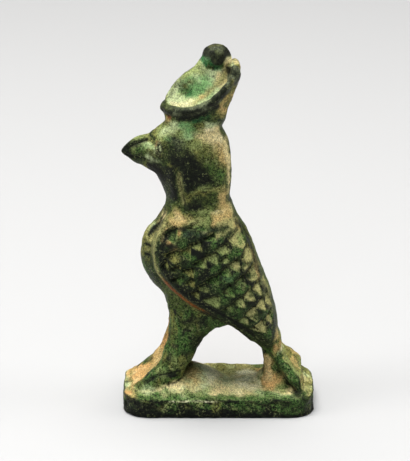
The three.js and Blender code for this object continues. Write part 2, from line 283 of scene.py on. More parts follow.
def outline(row: np.ndarray, section: Section, angles: np.ndarray) -> np.ndarray:
    """Points on one rib's outline.

    Args:
        row: The rib as a row of numbers.
        section: The outline's shape.
        angles: Angles around it: 0 is its back and pi is its front.

    Returns:
        One place for each angle.
    """
    front_y, front_z, back_y, back_z, half = row
    cross = np.cos(angles)
    side = np.sin(angles)
    power = 2.0 / np.where(cross < 0, section.front_power, section.back_power)
    t = 0.5 + 0.5 * np.sign(cross) * np.abs(cross) ** power
    x = half * np.sign(side) * np.abs(side) ** power
    y = front_y + (back_y - front_y) * t
    z = front_z + (back_z - front_z) * t
    return np.column_stack([x, y, z])


def ring_shell(rings: list[np.ndarray]) -> Shell:
    """Closed shell over a row of rings, with a point at the middle of each end.

    Args:
        rings: Rings with the same number of points.

    Returns:
        The shell.
    """
    around = len(rings[0])
    points = np.vstack([*rings, rings[0].mean(axis=0), rings[-1].mean(axis=0)])
    first, last = len(points) - 2, len(points) - 1
    top = (len(rings) - 1) * around
    faces: list[tuple[int, ...]] = []
    for i in range(around):
        j = (i + 1) % around
        faces.append((first, j, i))
        faces.append((last, top + i, top + j))
        for ring in range(len(rings) - 1):
            low = ring * around
            faces.append((low + i, low + j, low + around + j, low + around + i))
    return Shell(points, faces)


def unit(rows: np.ndarray) -> np.ndarray:
    """Return each row scaled to length 1."""
    return rows / np.linalg.norm(rows, axis=1, keepdims=True)


def loop_tube(path: np.ndarray, radii: np.ndarray, around: int = 14) -> Shell:
    """Closed tube along a path that ends where it starts.

    Args:
        path: Places along the middle of the tube.
        radii: The tube's radius at each place.
        around: Points around the tube.

    Returns:
        The shell.
    """
    forward = unit(np.roll(path, -1, axis=0) - np.roll(path, 1, axis=0))
    side = unit(np.cross(forward, UPWARD))
    up = np.cross(side, forward)
    angles = turns(around)[None, :, None]
    turn = np.cos(angles) * side[:, None, :] + np.sin(angles) * up[:, None, :]
    points = (path[:, None, :] + radii[:, None, None] * turn).reshape(-1, 3)
    faces: list[tuple[int, ...]] = []
    for ring in range(len(path)):
        low = ring * around
        high = (ring + 1) % len(path) * around
        for i in range(around):
            j = (i + 1) % around
            faces.append((low + i, high + i, high + j, low + j))
    return Shell(points, faces)


# Lower and upper end of a whole ball, short of its poles, and its points around and rings.
BALL_BOTTOM = -0.99
BALL_TOP_TILT = 0.48 * math.pi
BALL_AROUND = 48
BALL_RINGS = 24


def ball(
    middle: tuple[float, float, float],
    size: tuple[float, float, float],
    lowest: float = BALL_BOTTOM,
) -> Shell:
    """Round form with small flat ends, or the upper part of one.

    Args:
        middle: Place of its middle.
        size: Half of its size along X, Y and Z.
        lowest: Height of its lower end as a share of its half-height: 0 for the upper half.

    Returns:
        The shell.
    """
    around = turns(BALL_AROUND)
    rings = []
    for tilt in np.linspace(math.asin(lowest), BALL_TOP_TILT, BALL_RINGS):
        flat = np.column_stack([np.cos(around), np.sin(around)]) * math.cos(tilt)
        ring = np.column_stack([flat, np.full(len(around), math.sin(tilt))])
        rings.append(np.array(middle) + ring * np.array(size))
    return ring_shell(rings)


# Halvings that find a place along a loft.
SEAT_STEPS = 18


@dataclass(frozen=True)
class Loft:
    """A form through a row of ribs.

    Attributes:
        ribs: The ribs, from one end to the other.
        section: The outline at every rib.
    """

    ribs: tuple[Rib, ...]
    section: Section = Section()

    def rows(self, places: np.ndarray) -> np.ndarray:
        """Return the ribs at the places given, from the first (0) to the last (1)."""
        return catmull_rom(np.array([rib.row() for rib in self.ribs]), places)

    def shell(self, shift: float = 0.0, splay: float = 0.0, splay_top: float = 0.0) -> Shell:
        """Build the closed shell.

        Args:
            shift: How far it stands off the middle plane, along X.
            splay: How much further it stands off for each millimetre below splay_top.
            splay_top: Height at which the splay starts.

        Returns:
            The shell.
        """
        angles = turns(self.section.around)
        rows = self.rows(np.linspace(0.0, 1.0, self.section.rings))
        shell = ring_shell([outline(row, self.section, angles) for row in rows])
        lower = np.maximum(splay_top - shell.points[:, Z], 0.0)
        shell.points[:, X] += shift + math.copysign(1.0, shift) * splay * lower
        return shell

    def seat(self, y: np.ndarray, z: np.ndarray) -> tuple[np.ndarray, np.ndarray, np.ndarray]:
        """Find where places in the side view lie on the form.

        Args:
            y: Y of each place.
            z: Z of each place.

        Returns:
            Place along the ribs (0 to 1), place across the rib (-1 to 1) and the rib's half-width.
        """
        low = np.zeros(len(y))
        high = np.ones(len(y))
        for _ in range(SEAT_STEPS):
            middle = (low + high) / 2
            front_y, front_z, back_y, back_z = self.rows(middle)[:, :4].T
            rise = (back_y - front_y) * (z - front_z) - (back_z - front_z) * (y - front_y)
            high = np.where(rise > 0, middle, high)
            low = np.where(rise > 0, low, middle)
        front_y, _, back_y, _, half = self.rows(low).T
        cross = 2.0 * (y - front_y) / (back_y - front_y) - 1.0
        return low, cross, half

    def half_width(self, y: np.ndarray, z: np.ndarray) -> np.ndarray:
        """Return how far the form reaches from the middle plane at places in the side view."""
        _, cross, half = self.seat(y, z)
        power = np.where(cross < 0, self.section.front_power, self.section.back_power)
        return half * np.maximum(1.0 - np.abs(cross) ** power, 0.0) ** (1.0 / power)


# Shares of a smoothing step, inwards and back outwards, and of a wearing step.
SMOOTHING = (0.5, -0.52)
CREEP = 0.6
# How strongly noise breaks up a coat where it is thin.
BROKEN = 0.55
# Reach, size and seed of the noise that pushes points about, wide and fine.
STIRS = ((0.9, 2.2, 50), (0.35, 0.8, 60))
# Share and size of each noise in a coat's mottling, the first coat's seed and the step to the next.
MOTTLES = ((0.55, 1.5), (0.5, 0.7), (0.45, 0.34))
MOTTLE_SEED, MOTTLE_STEP = 100, 5


@dataclass
class Skin:
    """The fused casting while it is worn, carved and painted.

    Attributes:
        mesh: Its mesh, in millimetres until it is finished.
        points: Places of its points.
        normals: Outward directions of its points.
        edges: Pairs of neighbouring points.
        degree: How many neighbours each point has, in one column.
        coats: Colour, roughness and grain of what lies on each point, in rows.
        layers: Named values on the points.
        mottles: The noise that breaks up each coat.
    """

    mesh: bpy.types.Mesh
    points: np.ndarray = field(init=False)
    normals: np.ndarray = field(init=False)
    edges: np.ndarray = field(init=False)
    degree: np.ndarray = field(init=False)
    coats: np.ndarray = field(init=False)
    layers: dict[Layer, np.ndarray] = field(default_factory=dict)
    mottles: dict[Coat, np.ndarray] = field(default_factory=dict)

    def __post_init__(self) -> None:
        """Read the mesh."""
        count = len(self.mesh.vertices)
        flat = np.empty(3 * count)
        self.mesh.vertices.foreach_get("co", flat)
        self.points = flat.reshape(-1, 3)
        pairs = np.empty(2 * len(self.mesh.edges), dtype=np.int64)
        self.mesh.edges.foreach_get("vertices", pairs)
        self.edges = pairs.reshape(-1, 2)
        self.degree = np.bincount(self.edges.ravel(), minlength=count)[:, None]
        self.refresh()

    def refresh(self) -> None:
        """Write the points to the mesh and read its normals again."""
        self.mesh.vertices.foreach_set("co", self.points.ravel())
        self.mesh.update()
        flat = np.empty(3 * len(self.points))
        self.mesh.vertex_normals.foreach_get("vector", flat)
        self.normals = flat.reshape(-1, 3)

    def around(self, values: np.ndarray) -> np.ndarray:
        """Return the mean of each point's neighbours.

        Args:
            values: Rows of numbers, one for each point.

        Returns:
            The means, shaped as values.
        """
        a, b = self.edges.T
        count = len(values)
        total = np.empty_like(values)
        for column in range(values.shape[1]):
            v = values[:, column]
            total[:, column] = np.bincount(a, v[b], count) + np.bincount(b, v[a], count)
        return total / self.degree

    def blurred(self, values: np.ndarray, steps: int) -> np.ndarray:
        """Return rows of numbers, one for each point, after blurring them over the skin."""
        for _ in range(steps):
            values = 0.5 * values + 0.5 * self.around(values)
        return values

    def soften(self, steps: int) -> None:
        """Take out the small steps of the fused surface and keep its size."""
        for _ in range(steps):
            for share in SMOOTHING:
                self.points = self.points + share * (self.around(self.points) - self.points)
        self.refresh()

    def fill(self, steps: int, hollow_share: np.ndarray, edge_share: np.ndarray) -> None:
        """Let hollows fill and edges wear, as wax and long handling leave them.

        Args:
            steps: How many times the surface creeps.
            hollow_share: How far the points in hollows move, from 0 to 1.
            edge_share: How far the points on edges move.
        """
        for _ in range(steps):
            creep = self.around(self.points) - self.points
            out = np.einsum("ij,ij->i", creep, self.normals)
            share = np.where(out > 0, hollow_share, edge_share)
            self.points = self.points + CREEP * share[:, None] * creep
            self.refresh()

    def raise_by(self, height: np.ndarray) -> None:
        """Move each point outwards by its own height, in millimetres."""
        self.points = self.points + self.normals * height[:, None]
        self.refresh()

    def bend(self, reach: int) -> np.ndarray:
        """Return how hollow (above 0) or proud (below 0) the skin is, in millimetres.

        Args:
            reach: How many neighbours away the surface is compared with.
        """
        flat = self.blurred(self.points, reach)
        return np.einsum("ij,ij->i", flat - self.points, self.normals)

    def write(self, layers: tuple[Layer, ...]) -> None:
        """Put the points, in metres, and some of the layers on the mesh."""
        self.mesh.vertices.foreach_set("co", (self.points * MM).ravel())
        for layer in layers:
            kept = self.mesh.attributes.get(layer.value)
            attribute = kept or self.mesh.attributes.new(layer.value, "FLOAT", "POINT")
            attribute.data.foreach_set("value", self.layers[layer])
        self.mesh.update()

    def stirred(self) -> np.ndarray:
        """Return the points pushed about by noise, so that what follows them is ragged."""
        places = self.points
        for push, size, seed in STIRS:
            pushes = [noise(self.points, size, seed + axis) for axis in (X, Y, Z)]
            places = places + push * np.column_stack(pushes)
        return places

    def mottle(self, coat: Coat) -> np.ndarray:
        """Return the noise that breaks up a coat, from about -1 to 1."""
        if coat not in self.mottles:
            seed = MOTTLE_SEED + MOTTLE_STEP * list(Coat).index(coat)
            self.mottles[coat] = sum(
                share * noise(self.points, size, seed + k) for k, (share, size) in enumerate(MOTTLES)
            )
        return self.mottles[coat]

    def paint(self, coat: Coat, weight: np.ndarray, broken: float = BROKEN) -> None:
        """Lay a coat over what is there.

        Args:
            coat: The coat.
            weight: How full it lies at each point, from 0 to 1.
            broken: How strongly noise breaks it up where it is thin.
        """
        full = np.clip(weight, 0.0, 1.0)
        thin = 4.0 * full * (1.0 - full)
        share = np.clip(full + broken * thin * self.mottle(coat), 0.0, 1.0)[:, None]
        self.coats = self.coats + share * (coat.value.row() - self.coats)


# Steps of a stroke's line for each point of its path, and how softly it ends towards the middle plane.
STROKE_STEPS = 8
STROKE_FADE = 0.5


@dataclass(frozen=True)
class Stroke:
    """A line cut into the skin, or a ridge raised on it, on both flanks.

    Attributes:
        path: Y and Z of the points that it runs through.
        width: Distance from its middle to where it ends.
        height: How far it stands up. It is below 0 for a cut.
        reach: Least distance from the middle plane at which it shows.
        taper: Share of its length over which each end fades.
    """

    path: tuple[tuple[float, float], ...]
    width: float
    height: float
    reach: float = 0.4
    taper: float = 0.08

    def weight(self, skin: Skin, widen: float = 1.0) -> np.ndarray:
        """Return how strongly the stroke shows at each point, from 0 to 1.

        Args:
            skin: The skin that it runs on.
            widen: Factor on its width.
        """
        steps = STROKE_STEPS * len(self.path)
        line = catmull_rom(np.array(self.path), np.linspace(0.0, 1.0, steps))
        place = skin.points[:, Y:]
        best = np.full(len(place), np.inf)
        along = np.zeros(len(place))
        for k in range(steps - 1):
            step = line[k + 1] - line[k]
            t = np.clip((place - line[k]) @ step / (step @ step), 0.0, 1.0)
            gap = np.linalg.norm(place - line[k] - t[:, None] * step, axis=1)
            nearer = gap < best
            best = np.where(nearer, gap, best)
            along = np.where(nearer, (k + t) / (steps - 1), along)
        ends = ease(0.0, self.taper, along) * ease(1.0, 1.0 - self.taper, along)
        side = ease(self.reach, self.reach + STROKE_FADE, np.abs(skin.points[:, X]))
        return ease(self.width * widen, 0.0, best) * ends * side

    def carve(self, skin: Skin) -> np.ndarray:
        """Return the heights that the stroke gives the points."""
        return self.height * self.weight(skin)


# Where a spot ends and where it is full, as shares of its size.
SPOT_EDGE, SPOT_CORE = 1.1, 0.25


@dataclass(frozen=True)
class Spot:
    """A soft place on both flanks, for a finish or for a hollow or swelling.

    Attributes:
        coat: The coat that it lays, or None where it only shapes the skin.
        place: X, Y and Z of its middle.
        size: How far it reaches along X, Y and Z.
        strength: How full the coat is in its middle, or how far the skin moves there.
    """

    coat: Coat | None
    place: tuple[float, float, float]
    size: tuple[float, float, float]
    strength: float = 1.0

    def weight(self, places: np.ndarray) -> np.ndarray:
        """Return how strongly the spot shows, from 0 to 1.

        Args:
            places: Places to look at, one row each.
        """
        return ease(SPOT_EDGE, SPOT_CORE, share_away(folded(places), self.place, self.size))

    def lay(self, skin: Skin, stirred: np.ndarray, where: np.ndarray | float = 1.0) -> None:
        """Lay the spot's coat.

        Args:
            skin: The skin.
            stirred: The skin's points, pushed about so that the spot's outline is ragged.
            where: How much of it each point takes, from 0 to 1.
        """
        skin.paint(self.coat, where * self.strength * self.weight(stirred))

    def carve(self, skin: Skin) -> np.ndarray:
        """Return the heights that the spot gives the points."""
        return self.strength * self.weight(skin.points)


@dataclass(frozen=True)
class Wash:
    """A coat that lies in patches, where noise runs high or low.

    Attributes:
        coat: The coat.
        strength: How full it is in the patches.
        bare: Noise (-1 to 1) where the coat ends.
        full: Noise where it is full.
        size: Size of the noise's lumps.
        seed: Picks the pattern.
        broken: How strongly the coat is broken up where it is thin.
    """

    coat: Coat
    strength: float
    bare: float
    full: float
    size: float
    seed: int
    broken: float = BROKEN

    def lay(self, skin: Skin, where: np.ndarray) -> None:
        """Lay the wash on the part of the skin where the weight given is above 0."""
        patches = ease(self.bare, self.full, noise(skin.points, self.size, self.seed))
        skin.paint(self.coat, self.strength * where * patches, self.broken)


def lay_washes(washes: tuple[Wash, ...], skin: Skin, where: np.ndarray) -> None:
    """Lay washes on part of the skin, one over the other."""
    for wash in washes:
        wash.lay(skin, where)


@dataclass(frozen=True)
class Lumps:
    """Noise that raises and lowers the skin.

    Attributes:
        height: How far it does so, in millimetres.
        size: Size of the lumps.
        seed: Picks the pattern.
    """

    height: float
    size: float
    seed: int

    def carve(self, skin: Skin) -> np.ndarray:
        """Return the heights that the lumps give the points."""
        return self.height * noise(skin.points, self.size, self.seed)


class Carver(Protocol):
    """Anything that gives the points heights."""

    def carve(self, skin: Skin) -> np.ndarray:
        """Return the heights."""


def relief(carvers: tuple[Carver, ...], skin: Skin) -> np.ndarray:
    """Return the heights that several carvers give the points together."""
    return sum(carver.carve(skin) for carver in carvers)


def fused(shells: list[Shell], voxel: float) -> Skin:
    """Fuse overlapping shells into one skin.

    Args:
        shells: Closed shells.
        voxel: Size of the grid that they are fused on, in millimetres.

    Returns:
        The skin.
    """
    points: list[np.ndarray] = []
    faces: list[tuple[int, ...]] = []
    start = 0
    for shell in shells:
        points.append(shell.points)
        faces.extend(tuple(start + corner for corner in face) for face in shell.faces)
        start += len(shell.points)
    mesh = plain_mesh("shells", np.vstack(points), faces)
    rough = placed("shells", mesh)
    remesh = rough.modifiers.new("fuse", "REMESH")
    remesh.mode = "VOXEL"
    remesh.voxel_size = voxel
    graph = bpy.context.evaluated_depsgraph_get()
    whole = bpy.data.meshes.new_from_object(rough.evaluated_get(graph))
    bpy.data.objects.remove(rough)
    bpy.data.meshes.remove(mesh)
    return Skin(whole)


@dataclass(frozen=True)
class Part:
    """One sub-assembly of the casting.

    Attributes:
        spots: Places of its coats, in the order in which they lie.
    """

    spots: tuple[Spot, ...] = ()

    def shells(self) -> list[Shell]:
        """Return its closed shells."""
        return []

    def carve(self, skin: Skin) -> np.ndarray:
        """Return the heights that its relief gives the points."""
        return np.zeros(len(skin.points))

    def ground(self, skin: Skin) -> None:
        """Lay its first coats."""

    def line(self, skin: Skin) -> None:
        """Lay the coats that follow its lines, over the spots."""

    def lay_spots(self, skin: Skin, stirred: np.ndarray) -> None:
        """Lay its spots of finish."""
        for spot in self.spots:
            spot.lay(skin, stirred)


@dataclass(frozen=True)
class Plinth(Part):
    """Low block with round corners that is cast in one with the bird, and the mound under its feet."""

    length: float = 31.0
    width: float = 15.4
    height: float = 3.35
    crown: float = 0.12
    corner: float = 4.2
    least_corner: float = 0.5
    corner_points: int = 14
    top_edge: float = 0.95
    under_edge: float = 0.4
    edge_rings: int = 6
    face_inset: float = 2.0
    mound_at: tuple[float, float, float] = (0.0, -6.6, 1.6)
    mound_size: tuple[float, float, float] = (7.3, 8.5, 4.4)
    # Painted highlight: a pale line along the sides just below the rounded top edge.
    painted_highlight_line: Stroke = Stroke(
        ((-9.4, 2.8), (-6.0, 2.9), (-2.0, 2.9), (1.0, 2.8)), 0.24, 0.0, 6.8, 0.25
    )
    spots: tuple[Spot, ...] = (
        Spot(Coat.LEAF, (5.6, 7.6, 3.4), (2.4, 3.0, 0.9), 0.6),
        Spot(Coat.SAGE, (4.9, -2.4, 3.8), (2.2, 1.8, 0.9), 0.7),
        Spot(Coat.SAND, (5.2, -7.4, 4.7), (2.0, 3.4, 1.2), 0.95),
        Spot(Coat.SAND, (2.8, 4.9, 3.3), (2.8, 2.2, 0.9), 0.9),
        Spot(Coat.EARTH, (2.2, -3.8, 5.2), (4.6, 2.6, 1.6), 0.95),
        Spot(Coat.SAND, (-2.0, -3.6, 5.4), (3.4, 1.8, 1.2), 0.9),
        # Painted light: these four pale spots brighten the top under the bird, where its body shades
        # it.
        Spot(Coat.MINT, (1.6, -2.6, 4.9), (4.0, 2.2, 1.2), 0.75),
        Spot(Coat.MINT, (0.4, 1.2, 3.6), (3.0, 2.6, 0.9), 0.8),
        Spot(Coat.CREAM, (1.0, -1.2, 4.6), (3.6, 2.2, 1.3), 0.8),
        Spot(Coat.CREAM, (1.8, 4.4, 3.5), (3.6, 3.2, 1.1), 1.0),
        Spot(Coat.METAL, (6.8, -13.6, 2.2), (2.0, 2.0, 1.0), 0.9),
        Spot(Coat.DEEP, (5.6, 13.4, 2.8), (2.6, 2.2, 1.2), 0.8),
        Spot(Coat.MINT, (5.6, -11.2, 4.0), (1.5, 1.7, 0.9), 0.5),
        Spot(Coat.CLAY, (4.4, -13.9, 3.5), (2.8, 2.0, 1.4), 1.3),
        Spot(Coat.CREAM, (5.3, -6.8, 4.7), (1.2, 1.6, 0.6), 0.4),
        # Painted highlight: a small white glint on the top by the tail.
        Spot(Coat.CREAM, (3.9, 9.9, 3.4), (1.6, 0.5, 0.5), 0.9),
        Spot(Coat.OLIVE, (0.0, 14.8, 3.2), (7.0, 1.4, 1.4), 0.7),
        Spot(Coat.METAL, (7.6, -12.4, 1.6), (2.4, 4.4, 1.8), 0.95),
        Spot(Coat.METAL, (7.6, 14.6, 1.2), (2.4, 2.4, 1.6), 0.8),
        Spot(Coat.OLIVE, (7.7, -9.4, 1.6), (0.9, 2.0, 0.9), 0.6),
        Spot(Coat.LEAF, (7.7, 6.0, 1.8), (1.4, 6.0, 1.6), 0.75),
        Spot(Coat.SAGE, (7.7, 9.0, 2.2), (1.0, 3.6, 1.0), 0.4),
    )
    hump: Spot = Spot(None, (-1.0, -3.7, 5.2), (4.4, 1.6, 1.6), 0.3)
    rise: Spot = Spot(None, (0.8, 3.2, 3.4), (5.0, 3.4, 1.6), 0.4)
    waves: tuple[Lumps, ...] = (Lumps(0.17, 3.1, 3), Lumps(0.09, 1.3, 4))
    grain: Lumps = Lumps(0.13, 0.9, 5)
    bulges: Lumps = Lumps(0.20, 2.8, 12)
    pits: Lumps = Lumps(0.14, 0.6, 6)
    side_wear: float = 0.24
    spared_front: float = 0.10
    top_washes: tuple[Wash, ...] = (
        Wash(Coat.MINT, 0.85, -0.5, 0.3, 3.0, 31),
        Wash(Coat.SAND, 0.8, -0.2, 0.5, 3.6, 32),
        Wash(Coat.MOULD, 0.5, 0.2, 0.6, 1.8, 50),
    )
    side_washes: tuple[Wash, ...] = (
        Wash(Coat.DEEP, 1.0, 0.35, -0.35, 1.1, 33),
        Wash(Coat.OLIVE, 0.7, 0.1, 0.5, 2.2, 52),
        Wash(Coat.METAL, 0.9, 0.1, 0.5, 0.8, 55),
        Wash(Coat.SAGE, 0.85, 0.2, 0.5, 0.7, 51),
    )
    side_grain: float = 0.5

    def ring(self, inset: float, z: float) -> np.ndarray:
        """Return the block's plan outline, drawn in by inset, at height z."""
        corner = max(self.corner - inset, self.least_corner)
        half_x = self.width / 2 - inset - corner
        half_y = self.length / 2 - inset - corner
        places = []
        for turn, (sx, sy) in enumerate(((1, 1), (-1, 1), (-1, -1), (1, -1))):
            for angle in np.linspace(turn * math.pi / 2, (turn + 1) * math.pi / 2, self.corner_points):
                x = sx * half_x + corner * math.cos(angle)
                y = sy * half_y + corner * math.sin(angle)
                places.append((x, y, z))
        return np.array(places)

    def shells(self) -> list[Shell]:
        """Return the block and the mound."""
        angles = np.linspace(0.0, math.pi / 2, self.edge_rings)
        rings = [self.ring(self.under_edge + self.face_inset, 0.0)]
        for angle in angles:
            rise = self.under_edge * (1 - math.cos(angle))
            rings.append(self.ring(self.under_edge * (1 - math.sin(angle)), rise))
        for angle in angles:
            rise = self.height - self.top_edge * (1 - math.sin(angle))
            rings.append(self.ring(self.top_edge * (1 - math.cos(angle)), rise))
        rings.append(self.ring(self.top_edge + self.face_inset, self.height + self.crown))
        return [ring_shell(rings), ball(self.mound_at, self.mound_size, 0.0)]

    def mound_top(self, places: np.ndarray) -> np.ndarray:
        """Return how high the mound stands below each place."""
        (x, y, z), (half_x, half_y, half_z) = self.mound_at, self.mound_size
        away = ((places[:, X] - x) / half_x) ** 2 + ((places[:, Y] - y) / half_y) ** 2
        return z + half_z * np.sqrt(np.clip(1.0 - away, 0.0, 1.0))

    def carve(self, skin: Skin) -> np.ndarray:
        """Return the waves, hump and rise of the plinth's top and the pitted, worn-back sides."""
        p = skin.points
        low = ease(6.5, 4.5, p[:, Z])
        top = low * ease(0.4, 0.8, skin.normals[:, Z])
        side = low * ease(0.7, 0.3, np.abs(skin.normals[:, Z]))
        holes = self.pits.height * ease(0.3, 0.8, noise(p, self.pits.size, self.pits.seed))
        rough = self.grain.carve(skin) - holes + self.bulges.carve(skin)
        drawn_in = self.side_wear - self.spared_front * ease(-13.5, -15.0, p[:, Y])
        block = top * relief(self.waves, skin) - drawn_in * side + side * rough
        return block + self.hump.carve(skin) + self.rise.carve(skin)

    def ground(self, skin: Skin) -> None:
        """Lay pale mould and sand on the top, and granular green on the sides."""
        p = skin.points
        top = ease(6.2, 4.2, p[:, Z]) * ease(0.35, 0.85, skin.normals[:, Z])
        skin.paint(Coat.MOULD, top)
        lay_washes(self.top_washes, skin, top)
        skin.paint(Coat.OLIVE, 0.75 * top * ease(-1.0, -3.4, p[:, X]) * ease(-3.0, 0.0, p[:, Y]))
        skin.paint(Coat.LEAF, 0.85 * top * ease(5.2, 6.8, p[:, X] + 0.9 * noise(p, 1.1, 48)))
        side = ease(4.0, 3.1, p[:, Z] + 0.35 * noise(p, 1.0, 46)) * ease(0.95, 0.4, skin.normals[:, Z])
        skin.paint(Coat.LEAF, side)
        lay_washes(self.side_washes, skin, side)
        # The sides grow darker towards the bottom.
        skin.paint(Coat.METAL, side * ease(1.8, 0.7, p[:, Z] + 0.9 * noise(p, 1.7, 47)))
        skin.coats[:, GRAIN_COLUMN] += self.side_grain * side

    def line(self, skin: Skin) -> None:
        """Lay green on the rounded top edge, a painted highlight as a pale line below it, and painted
        shade along the bottom.
        """
        p = skin.points
        upward = skin.normals[:, Z]
        edge = ease(0.9, 0.6, upward) * ease(0.2, 0.5, upward) * ease(3.9, 3.6, p[:, Z])
        skin.paint(Coat.LEAF, 0.4 * edge)
        # Painted highlight: the pale line under the top edge.
        skin.paint(Coat.CREAM, 0.75 * self.painted_highlight_line.weight(skin), 1.2)
        # Painted shade: black along the bottom of the plinth, where it meets the floor.
        skin.paint(Coat.BLACK_AND_SHADE, 0.8 * ease(0.9, 0.2, p[:, Z]))


@dataclass(frozen=True)
class Torso(Part):
    """Chest, belly and the web of metal between the legs."""

    core: Loft = Loft(
        (
            Rib((-8.3, 34.8), (1.8, 34.6), 4.1),
            Rib((-8.9, 32.3), (2.2, 32.6), 4.5),
            Rib((-10.4, 30.6), (3.0, 30.8), 5.0),
            Rib((-11.85, 28.9), (4.0, 29.0), 5.4),
            Rib((-12.4, 26.2), (5.0, 26.5), 5.7),
            Rib((-12.2, 23.6), (5.5, 24.0), 5.8),
            Rib((-11.0, 21.4), (5.5, 21.0), 5.6),
            Rib((-9.2, 19.3), (4.4, 18.8), 5.3),
            Rib((-8.4, 17.3), (3.4, 16.8), 4.8),
            Rib((-7.8, 15.3), (2.4, 15.0), 4.2),
            Rib((-7.3, 13.4), (-0.7, 13.5), 3.2),
            Rib((-7.2, 11.4), (-3.0, 11.6), 2.6),
            Rib((-8.0, 9.2), (-4.4, 9.1), 2.3),
            Rib((-9.4, 7.2), (-5.3, 7.3), 2.2),
            Rib((-11.6, 5.0), (-6.0, 5.4), 2.3),
            Rib((-13.6, 3.4), (-6.6, 3.7), 2.6),
            Rib((-14.0, 2.65), (-6.8, 2.65), 2.6),
        ),
        Section(2.1, 2.4),
    )
    slits: tuple[Stroke, ...] = (
        Stroke(((-8.5, 33.0), (-9.3, 31.2), (-10.1, 30.2), (-10.9, 29.1)), 0.34, -0.28),
        Stroke(((-9.7, 30.9), (-10.6, 29.9), (-11.2, 28.9)), 0.30, -0.24),
        Stroke(((-11.8, 27.7), (-10.6, 27.8)), 0.46, -0.24, taper=0.2),
        Stroke(((-12.0, 26.2), (-10.7, 26.3)), 0.46, -0.22, taper=0.2),
    )
    spots: tuple[Spot, ...] = (
        Spot(Coat.OLIVE, (1.2, -11.0, 27.6), (4.0, 2.6, 5.2), 0.9),
        Spot(Coat.MOULD, (2.2, -10.6, 28.4), (3.0, 1.8, 2.8), 0.8),
        Spot(Coat.EARTH, (2.6, -9.0, 31.4), (2.6, 1.6, 2.0), 0.7),
        Spot(Coat.LEAF, (1.4, -11.4, 23.6), (3.0, 2.0, 2.2), 0.7),
        Spot(Coat.SAND, (1.6, -9.2, 31.8), (2.2, 1.8, 1.4), 0.8),
        Spot(Coat.MINT, (0.8, -10.6, 30.0), (1.6, 1.1, 1.2), 0.6),
        Spot(Coat.DEEP, (1.0, -9.6, 20.2), (4.0, 1.8, 2.0), 0.7),
    )

    def shells(self) -> list[Shell]:
        """Return the torso."""
        return [self.core.shell()]

    def carve(self, skin: Skin) -> np.ndarray:
        """Return the short cuts on the breast."""
        return relief(self.slits, skin)

    def line(self, skin: Skin) -> None:
        """Darken the cuts on the breast."""
        for stroke in self.slits:
            skin.paint(Coat.METAL, stroke.weight(skin))


